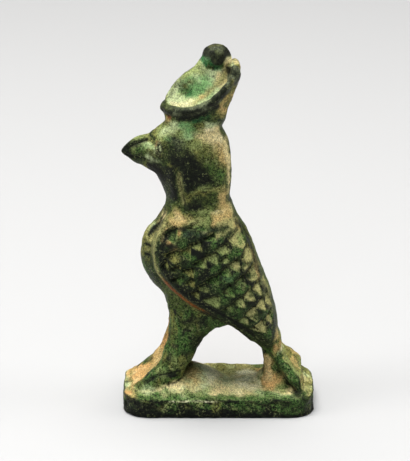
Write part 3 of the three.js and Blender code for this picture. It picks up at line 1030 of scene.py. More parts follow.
@dataclass(frozen=True)
class Legs(Part):
    """Two legs with long feet that reach the plinth's front edge."""

    out: float = 2.6
    splay: float = 0.12
    splay_top: float = 12.0
    leg: Loft = Loft(
        (
            Rib((-8.4, 19.6), (1.6, 18.8), 2.0),
            Rib((-8.2, 17.2), (2.6, 16.5), 2.45),
            Rib((-7.9, 15.2), (1.9, 14.7), 2.4),
            Rib((-8.05, 13.5), (-0.7, 13.6), 2.2),
            Rib((-8.15, 12.0), (-2.4, 12.1), 2.0),
            Rib((-8.8, 10.2), (-3.3, 10.5), 1.85),
            Rib((-9.4, 8.4), (-4.0, 8.9), 1.8),
            Rib((-10.5, 6.9), (-5.0, 7.4), 1.8),
            Rib((-12.0, 5.5), (-5.6, 6.0), 1.85),
            Rib((-13.5, 4.4), (-6.1, 4.6), 1.95),
            Rib((-14.4, 3.6), (-6.4, 3.7), 2.05),
            Rib((-14.4, 2.65), (-6.4, 2.65), 2.05),
        ),
        Section(2.2, 2.2),
    )
    crease: Stroke = Stroke(
        ((-5.2, 7.2), (-7.5, 6.8), (-9.4, 6.4), (-10.9, 5.6), (-11.8, 4.9)), 0.45, -0.24, 3.0
    )
    ground_z: float = 3.6
    grains: tuple[Lumps, ...] = (Lumps(0.10, 0.8, 7), Lumps(0.07, 0.45, 8))
    streak: float = 0.35
    moss: Wash = Wash(Coat.MOSS, 1.0, -0.2, 0.4, 2.0, 34)
    metal: Wash = Wash(Coat.METAL, 0.8, 0.25, 0.6, 0.7, 54)
    spots: tuple[Spot, ...] = (
        Spot(Coat.DEEP, (4.6, -2.2, 15.0), (2.2, 2.6, 2.6), 0.7),
        Spot(Coat.OLIVE, (4.9, -4.0, 15.9), (1.4, 1.6, 1.2), 0.6),
        Spot(Coat.LEAF, (4.8, -0.8, 15.6), (1.6, 2.2, 1.2), 0.7),
        Spot(Coat.DEEP, (4.2, -3.4, 11.6), (2.0, 1.6, 3.2), 0.9),
        Spot(Coat.METAL, (3.6, -2.8, 11.4), (1.8, 0.8, 3.6), 0.8),
        Spot(Coat.OLIVE, (4.3, -7.6, 12.4), (1.6, 0.9, 2.6), 0.6),
        Spot(Coat.SAGE, (4.6, -6.6, 8.6), (1.6, 2.2, 1.9), 0.6),
        Spot(Coat.SAGE, (4.9, -9.6, 6.9), (1.5, 2.2, 1.0), 0.6),
        Spot(Coat.MINT, (4.8, -8.4, 7.6), (1.0, 1.4, 0.7), 0.4),
        Spot(Coat.LEAF, (2.8, -12.2, 5.2), (1.4, 2.2, 1.2), 0.7),
        Spot(Coat.SAGE, (3.2, -13.8, 3.9), (1.8, 1.8, 0.9), 0.6),
        Spot(Coat.CLAY, (1.0, -7.9, 12.8), (2.0, 1.1, 3.6), 1.2),
        Spot(Coat.CLAY, (0.9, -8.8, 9.8), (2.6, 1.9, 3.2), 1.6),
        Spot(Coat.CLAY, (0.9, -10.6, 7.0), (2.8, 2.8, 2.8), 1.6),
        Spot(Coat.CLAY, (1.4, -12.8, 4.8), (3.0, 2.9, 2.0), 1.6),
        Spot(Coat.EARTH, (0.9, -10.4, 6.8), (2.6, 2.8, 3.4), 0.9),
        Spot(Coat.SAND, (0.9, -10.0, 7.4), (1.6, 2.2, 2.6), 0.5),
        Spot(Coat.SAGE, (4.6, -7.2, 8.4), (1.0, 1.6, 1.2), 0.45),
        Spot(Coat.SAND, (2.0, -13.2, 4.3), (2.0, 1.6, 1.0), 0.7),
        Spot(Coat.METAL, (2.8, -11.3, 6.1), (0.5, 1.6, 0.8), 0.5),
    )

    def shells(self) -> list[Shell]:
        """Return both legs."""
        return [self.leg.shell(side * self.out, self.splay, self.splay_top) for side in (1, -1)]

    def where(self, skin: Skin) -> np.ndarray:
        """Return 1 on the legs and thighs and 0 elsewhere."""
        p = skin.points
        foot = ease(0.1, 0.9, p[:, Z] - np.maximum(Plinth().mound_top(p), self.ground_z))
        return ease(18.5, 16.0, p[:, Z]) * foot * ease(2.5, 1.0, p[:, Y])

    def carve(self, skin: Skin) -> np.ndarray:
        """Return the corroded grain of the legs and the crease under each foot."""
        return self.where(skin) * relief(self.grains, skin) + self.crease.carve(skin)

    def ground(self, skin: Skin) -> None:
        """Lay granular green on the legs, with olive streaks down them."""
        legs = self.where(skin)
        skin.paint(Coat.LEAF, legs)
        self.moss.lay(skin, legs)
        streaks = noise(skin.points * np.array([1.0, 1.0, self.streak]), 0.9, 53)
        skin.paint(Coat.OLIVE, 0.65 * legs * ease(0.15, 0.55, streaks))
        self.metal.lay(skin, legs)

    def line(self, skin: Skin) -> None:
        """Paint shade into the crease under each foot."""
        # Painted shadow: dark along the crease where the foot meets the ground.
        skin.paint(Coat.METAL, 0.6 * self.crease.weight(skin))


@dataclass(frozen=True)
class Scale:
    """One feather scale on a flank.

    Attributes:
        y: Y of its middle.
        z: Z of its middle.
        wide: Its width along Y.
        tall: Its height along Z.
    """

    y: float
    z: float
    wide: float
    tall: float


@dataclass(frozen=True)
class Wings(Part):
    """Folded wings, which meet over the back and run down to their crossed tips."""

    folded: Loft = Loft(
        (
            Rib((-7.4, 34.4), (1.9, 34.6), 3.4),
            Rib((-8.6, 31.9), (2.9, 32.0), 5.0),
            Rib((-9.9, 29.5), (4.45, 29.5), 5.9),
            Rib((-10.3, 27.2), (5.5, 27.1), 6.4),
            Rib((-9.9, 24.7), (6.4, 24.3), 6.7),
            Rib((-8.4, 22.5), (7.3, 21.8), 6.8),
            Rib((-6.3, 20.4), (8.2, 19.5), 6.7),
            Rib((-3.8, 18.5), (8.8, 17.3), 6.4),
            Rib((-1.0, 16.8), (9.2, 15.4), 6.0),
            Rib((1.8, 15.1), (9.4, 13.8), 5.4),
            Rib((4.2, 12.9), (9.5, 12.3), 4.6),
            Rib((6.0, 11.0), (9.5, 10.9), 3.7),
            Rib((7.2, 9.7), (9.3, 9.8), 2.6),
        ),
        Section(7.0, 2.3, 72, 72),
    )
    border: Stroke = Stroke(
        (
            (-8.0, 33.4), (-8.8, 31.5), (-9.6, 30.2), (-10.2, 28.4), (-10.2, 26.6), (-9.8, 24.6),
            (-8.4, 22.5), (-6.4, 20.5), (-3.9, 18.6), (-1.1, 16.9), (1.7, 15.2), (4.0, 13.1),
            (5.8, 11.3),
        ),
        0.6,
        0.3,
        reach=2.5,
        taper=0.04,
    )
    channel: Stroke = Stroke(
        (
            (-7.4, 31.4), (-8.3, 29.9), (-8.9, 28.2), (-9.0, 26.6), (-8.6, 25.0), (-7.4, 23.2),
            (-5.5, 21.4), (-3.0, 19.6), (-0.3, 17.8), (2.4, 16.1), (4.8, 14.0), (6.5, 12.1),
        ),
        0.55,
        -0.2,
        reach=2.5,
        taper=0.1,
    )
    back_line: Stroke = Stroke(
        ((2.0, 33.0), (2.9, 31.2), (4.2, 29.6), (5.0, 27.6), (5.6, 25.2), (6.3, 22.6)),
        0.34,
        -0.22,
        reach=0.8,
    )
    scales: tuple[Scale, ...] = (
        Scale(-7.5, 30.4, 1.9, 2.0), Scale(-3.3, 31.8, 2.0, 1.5), Scale(3.0, 29.2, 2.6, 2.7),
        Scale(-7.1, 27.1, 1.9, 1.9), Scale(-5.2, 27.7, 1.4, 1.5), Scale(-3.4, 28.8, 1.7, 1.2),
        Scale(-1.2, 30.0, 1.7, 1.2), Scale(0.7, 28.0, 1.9, 1.7), Scale(4.5, 26.5, 2.2, 2.2),
        Scale(-8.4, 25.4, 1.0, 1.9), Scale(-4.7, 24.6, 1.6, 1.2), Scale(-2.8, 26.0, 1.6, 1.2),
        Scale(-1.0, 26.9, 1.9, 1.5), Scale(2.5, 25.4, 1.7, 1.5), Scale(5.2, 23.5, 2.2, 2.1),
        Scale(-6.1, 23.2, 1.6, 1.5), Scale(-0.8, 23.2, 1.6, 1.4), Scale(1.0, 24.5, 1.6, 1.4),
        Scale(3.5, 22.6, 1.3, 1.9), Scale(6.1, 21.1, 1.4, 1.9), Scale(-2.5, 22.0, 1.7, 1.2),
        Scale(1.6, 21.4, 1.3, 1.7), Scale(4.7, 20.4, 1.6, 1.7), Scale(7.8, 18.8, 1.1, 2.0),
        Scale(-0.9, 19.7, 2.1, 1.7), Scale(3.1, 19.4, 1.6, 1.4), Scale(6.7, 18.5, 1.4, 1.7),
        Scale(1.8, 18.4, 1.4, 1.2), Scale(5.3, 17.4, 1.6, 1.9), Scale(8.1, 16.0, 1.0, 1.7),
        Scale(3.9, 16.1, 1.4, 1.2), Scale(6.7, 14.8, 1.8, 1.9), Scale(-4.5, 22.9, 1.2, 1.1),
        Scale(-6.7, 25.0, 1.2, 1.2), Scale(-3.6, 20.9, 1.2, 1.1), Scale(1.0, 26.4, 1.2, 1.0),
    )
    spots: tuple[Spot, ...] = (
        Spot(Coat.LEAF, (6.4, 1.0, 22.0), (2.0, 4.6, 3.4), 0.55),
        Spot(Coat.LEAF, (6.4, 2.6, 17.4), (2.0, 4.0, 2.4), 0.6),
        Spot(Coat.BRIGHT, (6.4, 1.6, 24.2), (1.4, 1.2, 0.9), 0.6),
        Spot(Coat.SLATE, (5.4, -1.0, 30.6), (2.0, 3.6, 1.6), 0.7),
        Spot(Coat.MOSS, (5.2, -2.6, 31.7), (1.8, 2.4, 1.3), 0.8),
        Spot(Coat.SAGE, (5.2, -2.8, 32.0), (1.8, 1.9, 1.1), 0.9),
        Spot(Coat.EARTH, (4.2, -6.4, 32.8), (2.6, 2.8, 1.7), 1.2),
        Spot(Coat.SAND, (4.2, -6.4, 33.0), (1.8, 1.8, 0.9), 0.4),
        Spot(Coat.CLAY, (4.9, -7.6, 30.4), (2.4, 2.0, 2.0), 1.1),
        Spot(Coat.EARTH, (4.9, -8.1, 30.7), (1.7, 1.4, 1.5), 1.1),
        Spot(Coat.MOULD, (2.6, 2.4, 31.8), (2.6, 2.4, 3.2), 0.95),
        Spot(Coat.SAND, (2.4, 1.4, 33.6), (2.2, 1.5, 1.5), 0.8),
        Spot(Coat.EARTH, (3.0, 3.5, 30.2), (2.4, 1.6, 1.6), 0.8),
        Spot(Coat.MOULD, (5.4, -0.6, 30.5), (1.5, 3.0, 0.9), 0.9),
        Spot(Coat.MOULD, (4.1, 0.9, 32.1), (1.7, 1.7, 1.2), 0.9),
        Spot(Coat.SAGE, (4.1, -2.2, 34.2), (1.6, 2.2, 1.8), 0.8),
        Spot(Coat.MOULD, (4.7, 4.4, 24.4), (1.7, 1.4, 1.7), 0.9),
        Spot(Coat.EARTH, (2.2, 9.3, 12.2), (1.7, 1.1, 2.0), 0.9),
        Spot(Coat.EARTH, (2.8, 6.3, 25.0), (2.2, 1.1, 4.4), 0.8),
        Spot(Coat.MOULD, (2.6, 7.9, 19.8), (2.4, 1.1, 4.4), 0.7),
        Spot(Coat.EARTH, (6.2, -6.8, 27.4), (1.6, 1.7, 1.2), 0.75),
        Spot(Coat.EARTH, (3.6, 0.2, 33.0), (2.6, 2.2, 1.9), 1.1),
        Spot(Coat.SAND, (3.6, -0.2, 33.7), (2.0, 1.6, 0.9), 0.9),
        Spot(Coat.MOULD, (4.4, 3.0, 29.4), (2.2, 1.6, 1.7), 0.95),
        Spot(Coat.EARTH, (3.6, 4.6, 26.6), (2.2, 1.3, 1.4), 0.8),
        Spot(Coat.MOULD, (4.3, 5.3, 23.6), (2.0, 1.3, 1.5), 0.8),
        Spot(Coat.CREAM, (3.6, -0.4, 34.0), (1.2, 0.8, 0.7), 0.6),
        Spot(Coat.SLATE, (5.5, -4.9, 30.6), (1.6, 1.6, 0.7), 0.8),
        Spot(Coat.METAL, (5.8, -4.2, 29.9), (1.6, 1.6, 0.7), 0.9),
        Spot(Coat.METAL, (5.9, -9.0, 27.5), (2.2, 0.8, 1.6), 1.0),
        Spot(Coat.SAND, (5.0, -8.2, 30.6), (1.2, 1.1, 1.2), 0.7),
        Spot(Coat.MOULD, (4.8, -4.0, 32.4), (1.8, 1.6, 1.0), 0.7),
        Spot(Coat.OLIVE, (4.0, -0.6, 33.4), (1.3, 1.0, 1.0), 0.6),
        Spot(Coat.OLIVE, (0.8, 5.2, 28.0), (1.8, 1.4, 4.4), 0.7),
        Spot(Coat.DEEP, (0.8, 8.6, 18.0), (2.0, 1.3, 6.0), 0.6),
    )

    def shells(self) -> list[Shell]:
        """Return the folded wings."""
        return [self.folded.shell()]

    uneven: Lumps = Lumps(0.06, 0.9, 14)
    washes: tuple[Wash, ...] = (
        Wash(Coat.DEEP, 1.0, -0.3, 0.2, 1.4, 35),
        Wash(Coat.LEAF, 0.8, 0.1, 0.5, 1.7, 36, 1.0),
    )
    pit_leaf: Wash = Wash(Coat.LEAF, 0.8, -0.1, 0.4, 1.9, 37, 0.8)
    pit_deep: Wash = Wash(Coat.DEEP, 0.7, 0.15, 0.6, 1.3, 49, 0.8)
    pit_broken: float = 0.8

    def where(self, skin: Skin) -> np.ndarray:
        """Return 1 on the feathered part of the flanks and 0 elsewhere."""
        p = skin.points
        place, _, _ = self.folded.seat(p[:, Y], p[:, Z])
        half = self.folded.half_width(p[:, Y], p[:, Z])
        on = ease(1.0, 0.5, np.abs(np.abs(p[:, X]) - half))
        front, _, back, _, _ = self.folded.rows(place).T
        inside = ease(0.6, 1.2, p[:, Y] - front) * ease(0.0, 0.5, back - p[:, Y])
        return on * inside * ease(0.05, 0.12, place) * ease(0.97, 0.9, place)

    def carve(self, skin: Skin) -> np.ndarray:
        """Return the border ridge, the channel beside it, the line along the back and uneven flanks."""
        p = skin.points
        lines = relief((self.border, self.channel, self.back_line), skin)
        uneven = self.uneven.carve(skin) * ease(9.0, 12.0, p[:, Z]) * ease(34.0, 31.0, p[:, Z])
        return lines + uneven * ease(4.5, 5.5, np.abs(p[:, X]))

    def ground(self, skin: Skin) -> None:
        """Lay dark metal and green between the scales."""
        feathers = skin.layers[Layer.FEATHERS]
        skin.paint(Coat.METAL, feathers, 0.0)
        lay_washes(self.washes, skin, feathers)

    def line(self, skin: Skin) -> None:
        """Lay pale coats in the scales, shade along the lines, and rust and mould on the border."""
        p = skin.points
        pit = skin.layers[Layer.PIT]
        front = 0.9 * pit * ease(-1.0, -4.5, p[:, Y]) * ease(30.0, 27.5, p[:, Z])
        back = 0.95 * pit * ease(1.2, 3.8, p[:, Y] + 0.25 * (p[:, Z] - 24.0))
        skin.paint(Coat.SAGE, 0.9 * pit * ease(33.0, 30.0, p[:, Z]), self.pit_broken)
        skin.paint(Coat.OLIVE, front, self.pit_broken)
        skin.paint(Coat.MOULD, back, self.pit_broken)
        self.pit_leaf.lay(skin, pit * ease(6.0, 3.0, p[:, Y]))
        self.pit_deep.lay(skin, pit)
        skin.paint(Coat.METAL, self.channel.weight(skin) * ease(32.0, 30.0, p[:, Z]))
        skin.paint(Coat.METAL, 0.5 * self.back_line.weight(skin))
        border = self.border.weight(skin)
        skin.paint(Coat.RUST, ease(24.0, 22.4, p[:, Z]) * ease(16.6, 18.5, p[:, Z]) * border)
        skin.paint(Coat.MOULD, 0.8 * ease(21.5, 24.0, p[:, Z]) * border)
        skin.paint(Coat.METAL, 0.85 * ease(18.6, 17.0, p[:, Z]) * border)


@dataclass(frozen=True)
class Head(Part):
    """Neck, hooded head and beak."""

    neck: Loft = Loft(
        (
            Rib((-8.3, 33.2), (2.0, 33.4), 4.1),
            Rib((-8.4, 35.0), (1.7, 35.2), 4.2),
            Rib((-9.1, 37.2), (1.9, 37.4), 4.4),
            Rib((-10.0, 39.1), (2.0, 39.5), 4.5),
            Rib((-10.4, 41.4), (1.9, 41.6), 4.5),
            Rib((-10.5, 43.3), (1.7, 43.2), 4.3),
            Rib((-10.4, 45.0), (1.3, 44.8), 4.0),
            Rib((-9.8, 46.2), (0.6, 46.0), 3.6),
            Rib((-8.6, 47.2), (0.2, 47.0), 3.3),
        ),
        Section(2.0, 2.3),
    )
    beak: Loft = Loft(
        (
            Rib((-8.4, 38.2), (-8.2, 46.0), 3.1),
            Rib((-10.3, 39.15), (-10.4, 45.4), 2.5),
            Rib((-12.0, 40.15), (-12.3, 45.05), 1.75),
            Rib((-13.4, 40.75), (-13.8, 44.3), 1.15),
            Rib((-14.5, 41.6), (-14.8, 43.3), 0.65),
            Rib((-15.3, 42.15), (-15.4, 42.55), 0.2),
        ),
        Section(1.9, 1.8),
    )
    beak_line: Stroke = Stroke(
        ((-14.6, 42.9), (-13.7, 43.6), (-12.3, 44.3), (-10.9, 44.9)), 0.34, -0.26, 0.1
    )
    ridge: Stroke = Stroke(((-15.0, 42.9), (-13.9, 44.2), (-12.4, 45.2), (-11.0, 45.8)), 0.6, 0.08, 0.0)
    mouth: Stroke = Stroke(((-15.0, 42.1), (-13.6, 41.9), (-12.0, 41.9), (-10.6, 41.6)), 0.3, -0.2, 0.1)
    stripe: Stroke = Stroke(
        ((-6.1, 40.8), (-6.2, 39.1), (-5.9, 37.4), (-5.6, 35.6), (-5.3, 34.4)), 0.62, -0.28, 1.0
    )
    stripe_front: Stroke = Stroke(
        ((-7.3, 41.4), (-7.4, 39.0), (-7.1, 37.2), (-6.8, 35.0)), 0.75, 0.14, 1.0
    )
    stripe_back: Stroke = Stroke(
        ((-5.2, 41.4), (-5.1, 39.0), (-4.7, 37.6), (-4.4, 37.2)), 0.7, 0.16, 1.0
    )
    hood_edge: Stroke = Stroke(((-5.0, 37.5), (-3.4, 37.5), (-1.6, 37.6), (0.4, 37.9)), 0.5, -0.18, 1.0)
    wash: Wash = Wash(Coat.OLIVE, 0.8, 0.0, 0.5, 2.6, 38)
    lumps: tuple[Spot, ...] = (
        Spot(None, (0.4, -10.4, 45.5), (1.6, 0.7, 0.6), 0.22),
        Spot(None, (2.8, -9.3, 41.4), (1.5, 1.2, 0.9), 0.18),
        Spot(None, (3.0, -8.3, 44.9), (1.6, 1.5, 0.8), 0.16),
        Spot(None, (4.2, -5.0, 43.0), (2.0, 3.0, 2.6), 0.16),
        Spot(None, (4.1, -3.6, 35.3), (1.6, 1.2, 0.8), 0.14),
        Spot(None, (4.4, -3.4, 36.6), (1.6, 3.0, 0.7), -0.12),
    )
    eye_at: tuple[float, float] = (-9.25, 43.7)
    eye_half: tuple[float, float] = (0.6, 1.1)
    eye_lean: float = math.radians(-14.0)
    eye_side: float = 1.2
    rim_height: float = 0.14
    eye_sunk: float = 0.18
    pupil_height: float = 0.14
    spots: tuple[Spot, ...] = (
        Spot(Coat.OLIVE, (3.6, -2.6, 43.0), (3.0, 5.0, 4.4), 0.6),
        Spot(Coat.DEEP, (2.6, -8.0, 38.0), (3.4, 2.8, 5.4), 0.95),
        Spot(Coat.BRIGHT, (3.2, -5.2, 46.9), (2.2, 3.0, 1.5), 0.6),
        Spot(Coat.SAND, (2.8, -1.0, 45.4), (2.6, 3.4, 2.4), 1.0),
        Spot(Coat.EARTH, (2.6, 0.4, 42.6), (2.2, 2.2, 3.6), 0.95),
        Spot(Coat.SAND, (1.9, 1.5, 39.8), (2.1, 1.0, 5.4), 0.9),
        Spot(Coat.EARTH, (3.0, 0.3, 35.8), (2.2, 2.0, 2.6), 0.95),
        Spot(Coat.MOSS, (3.9, -1.6, 42.0), (2.0, 2.6, 2.6), 0.9),
        Spot(Coat.LEAF, (3.6, -0.8, 40.2), (1.8, 2.0, 2.2), 0.7),
        Spot(Coat.SAGE, (2.2, -8.4, 46.2), (2.6, 2.6, 1.9), 1.0),
        Spot(Coat.MINT, (2.5, -7.4, 46.9), (2.4, 2.6, 1.6), 0.6),
        Spot(Coat.SAGE, (3.3, -5.6, 46.8), (1.6, 2.4, 1.3), 0.6),
        Spot(Coat.SAND, (2.4, -0.7, 46.7), (2.0, 1.9, 1.4), 0.9),
        Spot(Coat.SAND, (1.3, 1.3, 44.0), (1.7, 1.0, 2.6), 0.8),
        Spot(Coat.MINT, (2.9, -6.6, 47.3), (1.9, 2.6, 1.1), 0.6),
        Spot(Coat.MINT, (3.4, -4.6, 46.2), (1.4, 1.8, 0.8), 0.4),
        Spot(Coat.CREAM, (2.4, 0.2, 44.8), (1.3, 1.2, 1.6), 0.5),
        Spot(Coat.SAGE, (1.8, -11.4, 43.7), (1.8, 2.4, 1.4), 0.95),
        Spot(Coat.BRIGHT, (1.6, -11.0, 43.4), (1.4, 1.4, 0.8), 0.6),
        Spot(Coat.LEAF, (1.4, -12.6, 43.1), (1.6, 1.6, 0.9), 0.7),
        Spot(Coat.SAGE, (0.5, -12.6, 45.0), (1.1, 2.6, 0.9), 0.9),
        Spot(Coat.MINT, (1.5, -11.3, 43.6), (1.5, 1.9, 1.1), 0.55),
        Spot(Coat.MOULD, (0.6, -11.4, 45.3), (1.2, 1.3, 0.7), 0.6),
        Spot(Coat.MINT, (2.7, -9.8, 43.8), (1.4, 1.1, 1.9), 0.7),
        Spot(Coat.MINT, (2.7, -9.5, 41.4), (1.5, 1.5, 0.9), 0.75),
        Spot(Coat.DEEP, (1.5, -12.8, 41.4), (1.7, 2.4, 0.9), 0.95),
        Spot(Coat.METAL, (0.5, -15.0, 42.4), (1.2, 1.3, 1.1), 0.9),
        Spot(Coat.DEEP, (0.4, -10.4, 45.5), (1.4, 0.7, 0.6), 0.9),
        Spot(Coat.METAL, (3.8, -7.0, 44.6), (1.7, 1.5, 1.7), 0.85),
        Spot(Coat.PEWTER, (3.9, -6.2, 45.2), (1.3, 1.6, 0.9), 0.6),
        Spot(Coat.BRIGHT, (3.2, -7.9, 45.4), (1.3, 1.1, 0.8), 0.6),
        Spot(Coat.SAGE, (4.2, -3.9, 44.8), (1.4, 1.8, 1.3), 0.8),
        Spot(Coat.METAL, (4.2, -5.9, 42.8), (2.2, 2.4, 2.3), 1.0),
        Spot(Coat.METAL, (4.3, -4.5, 40.9), (2.0, 2.2, 2.0), 0.8),
        Spot(Coat.METAL, (3.0, -8.2, 39.6), (2.2, 1.6, 3.4), 0.95),
        Spot(Coat.METAL, (1.2, -9.7, 38.4), (2.8, 1.4, 5.2), 0.95),
        Spot(Coat.OLIVE, (3.8, -7.3, 33.9), (1.3, 1.1, 1.2), 0.8),
        Spot(Coat.METAL, (4.3, -2.9, 39.2), (1.7, 3.2, 1.8), 1.0),
        Spot(Coat.OLIVE, (4.2, -2.4, 36.8), (1.8, 3.4, 0.9), 0.9),
        Spot(Coat.SAGE, (4.2, -2.4, 37.4), (1.4, 2.6, 0.7), 0.8),
        Spot(Coat.MOULD, (3.4, -0.6, 37.2), (1.4, 1.8, 1.6), 0.7),
        Spot(Coat.METAL, (4.1, -3.7, 35.3), (1.6, 1.7, 1.0), 1.0),
        Spot(Coat.LEAF, (3.2, -7.4, 34.6), (1.6, 1.2, 1.2), 0.7),
        Spot(Coat.BLACK_AND_SHADE, (1.4, -9.8, 38.4), (2.9, 1.6, 5.6), 1.0),
        Spot(Coat.MINT, (2.3, -10.2, 41.6), (1.4, 1.7, 1.2), 0.6),
        Spot(Coat.SAGE, (0.9, -13.9, 43.7), (0.9, 1.1, 0.7), 0.7),
        Spot(Coat.BRIGHT, (3.6, -3.9, 46.9), (1.7, 2.4, 1.1), 0.5),
        Spot(Coat.CREAM, (2.9, -1.0, 46.8), (1.3, 1.2, 0.9), 0.6),
        Spot(Coat.SAGE, (1.2, -8.8, 46.6), (1.6, 1.2, 1.1), 0.7),
    )

    def shells(self) -> list[Shell]:
        """Return the neck with the head, and the beak."""
        return [self.neck.shell(), self.beak.shell()]

    def eye(self, skin: Skin) -> np.ndarray:
        """Return each point's distance from the eye's middle, as a share of the eye's size."""
        y, z = (skin.points[:, Y:] - np.array(self.eye_at)).T
        cos, sin = math.cos(self.eye_lean), math.sin(self.eye_lean)
        away = np.hypot((y * cos - z * sin) / self.eye_half[0], (y * sin + z * cos) / self.eye_half[1])
        return np.where(np.abs(skin.points[:, X]) > self.eye_side, away, np.inf)

    def carve(self, skin: Skin) -> np.ndarray:
        """Return the eye, the lines of the beak, the strips of the hood and the head's swellings."""
        eye = self.eye(skin)
        rim = self.rim_height * ease(0.55, 0.95, eye) * ease(1.5, 1.05, eye)
        inner = self.pupil_height * ease(0.5, 0.0, eye) - self.eye_sunk * ease(0.9, 0.5, eye)
        beak = (self.beak_line, self.ridge, self.mouth)
        hood = (self.stripe, self.stripe_front, self.stripe_back, self.hood_edge)
        return rim + inner + relief(beak + hood, skin) + relief(self.lumps, skin)

    def ground(self, skin: Skin) -> None:
        """Lay patches of olive on the head and all above it."""
        self.wash.lay(skin, ease(33.5, 35.0, skin.points[:, Z]))

    def line(self, skin: Skin) -> None:
        """Darken the beak's lines and the strips of the hood, and lay pale coats in stripe and eye."""
        skin.paint(Coat.METAL, 0.85 * self.beak_line.weight(skin))
        skin.paint(Coat.METAL, 0.7 * self.mouth.weight(skin))
        skin.paint(Coat.METAL, self.stripe_front.weight(skin, 1.3))
        skin.paint(Coat.METAL, self.stripe_back.weight(skin, 1.3))
        skin.paint(Coat.MOULD, 0.8 * self.stripe.weight(skin, 1.25))
        eye = self.eye(skin)
        rim = ease(0.7, 0.95, eye) * ease(1.35, 1.0, eye)
        skin.paint(Coat.RUST, 0.45 * rim * ease(-8.9, -9.3, skin.points[:, Y]))
        skin.paint(Coat.MINT, 0.45 * ease(0.75, 0.3, eye))


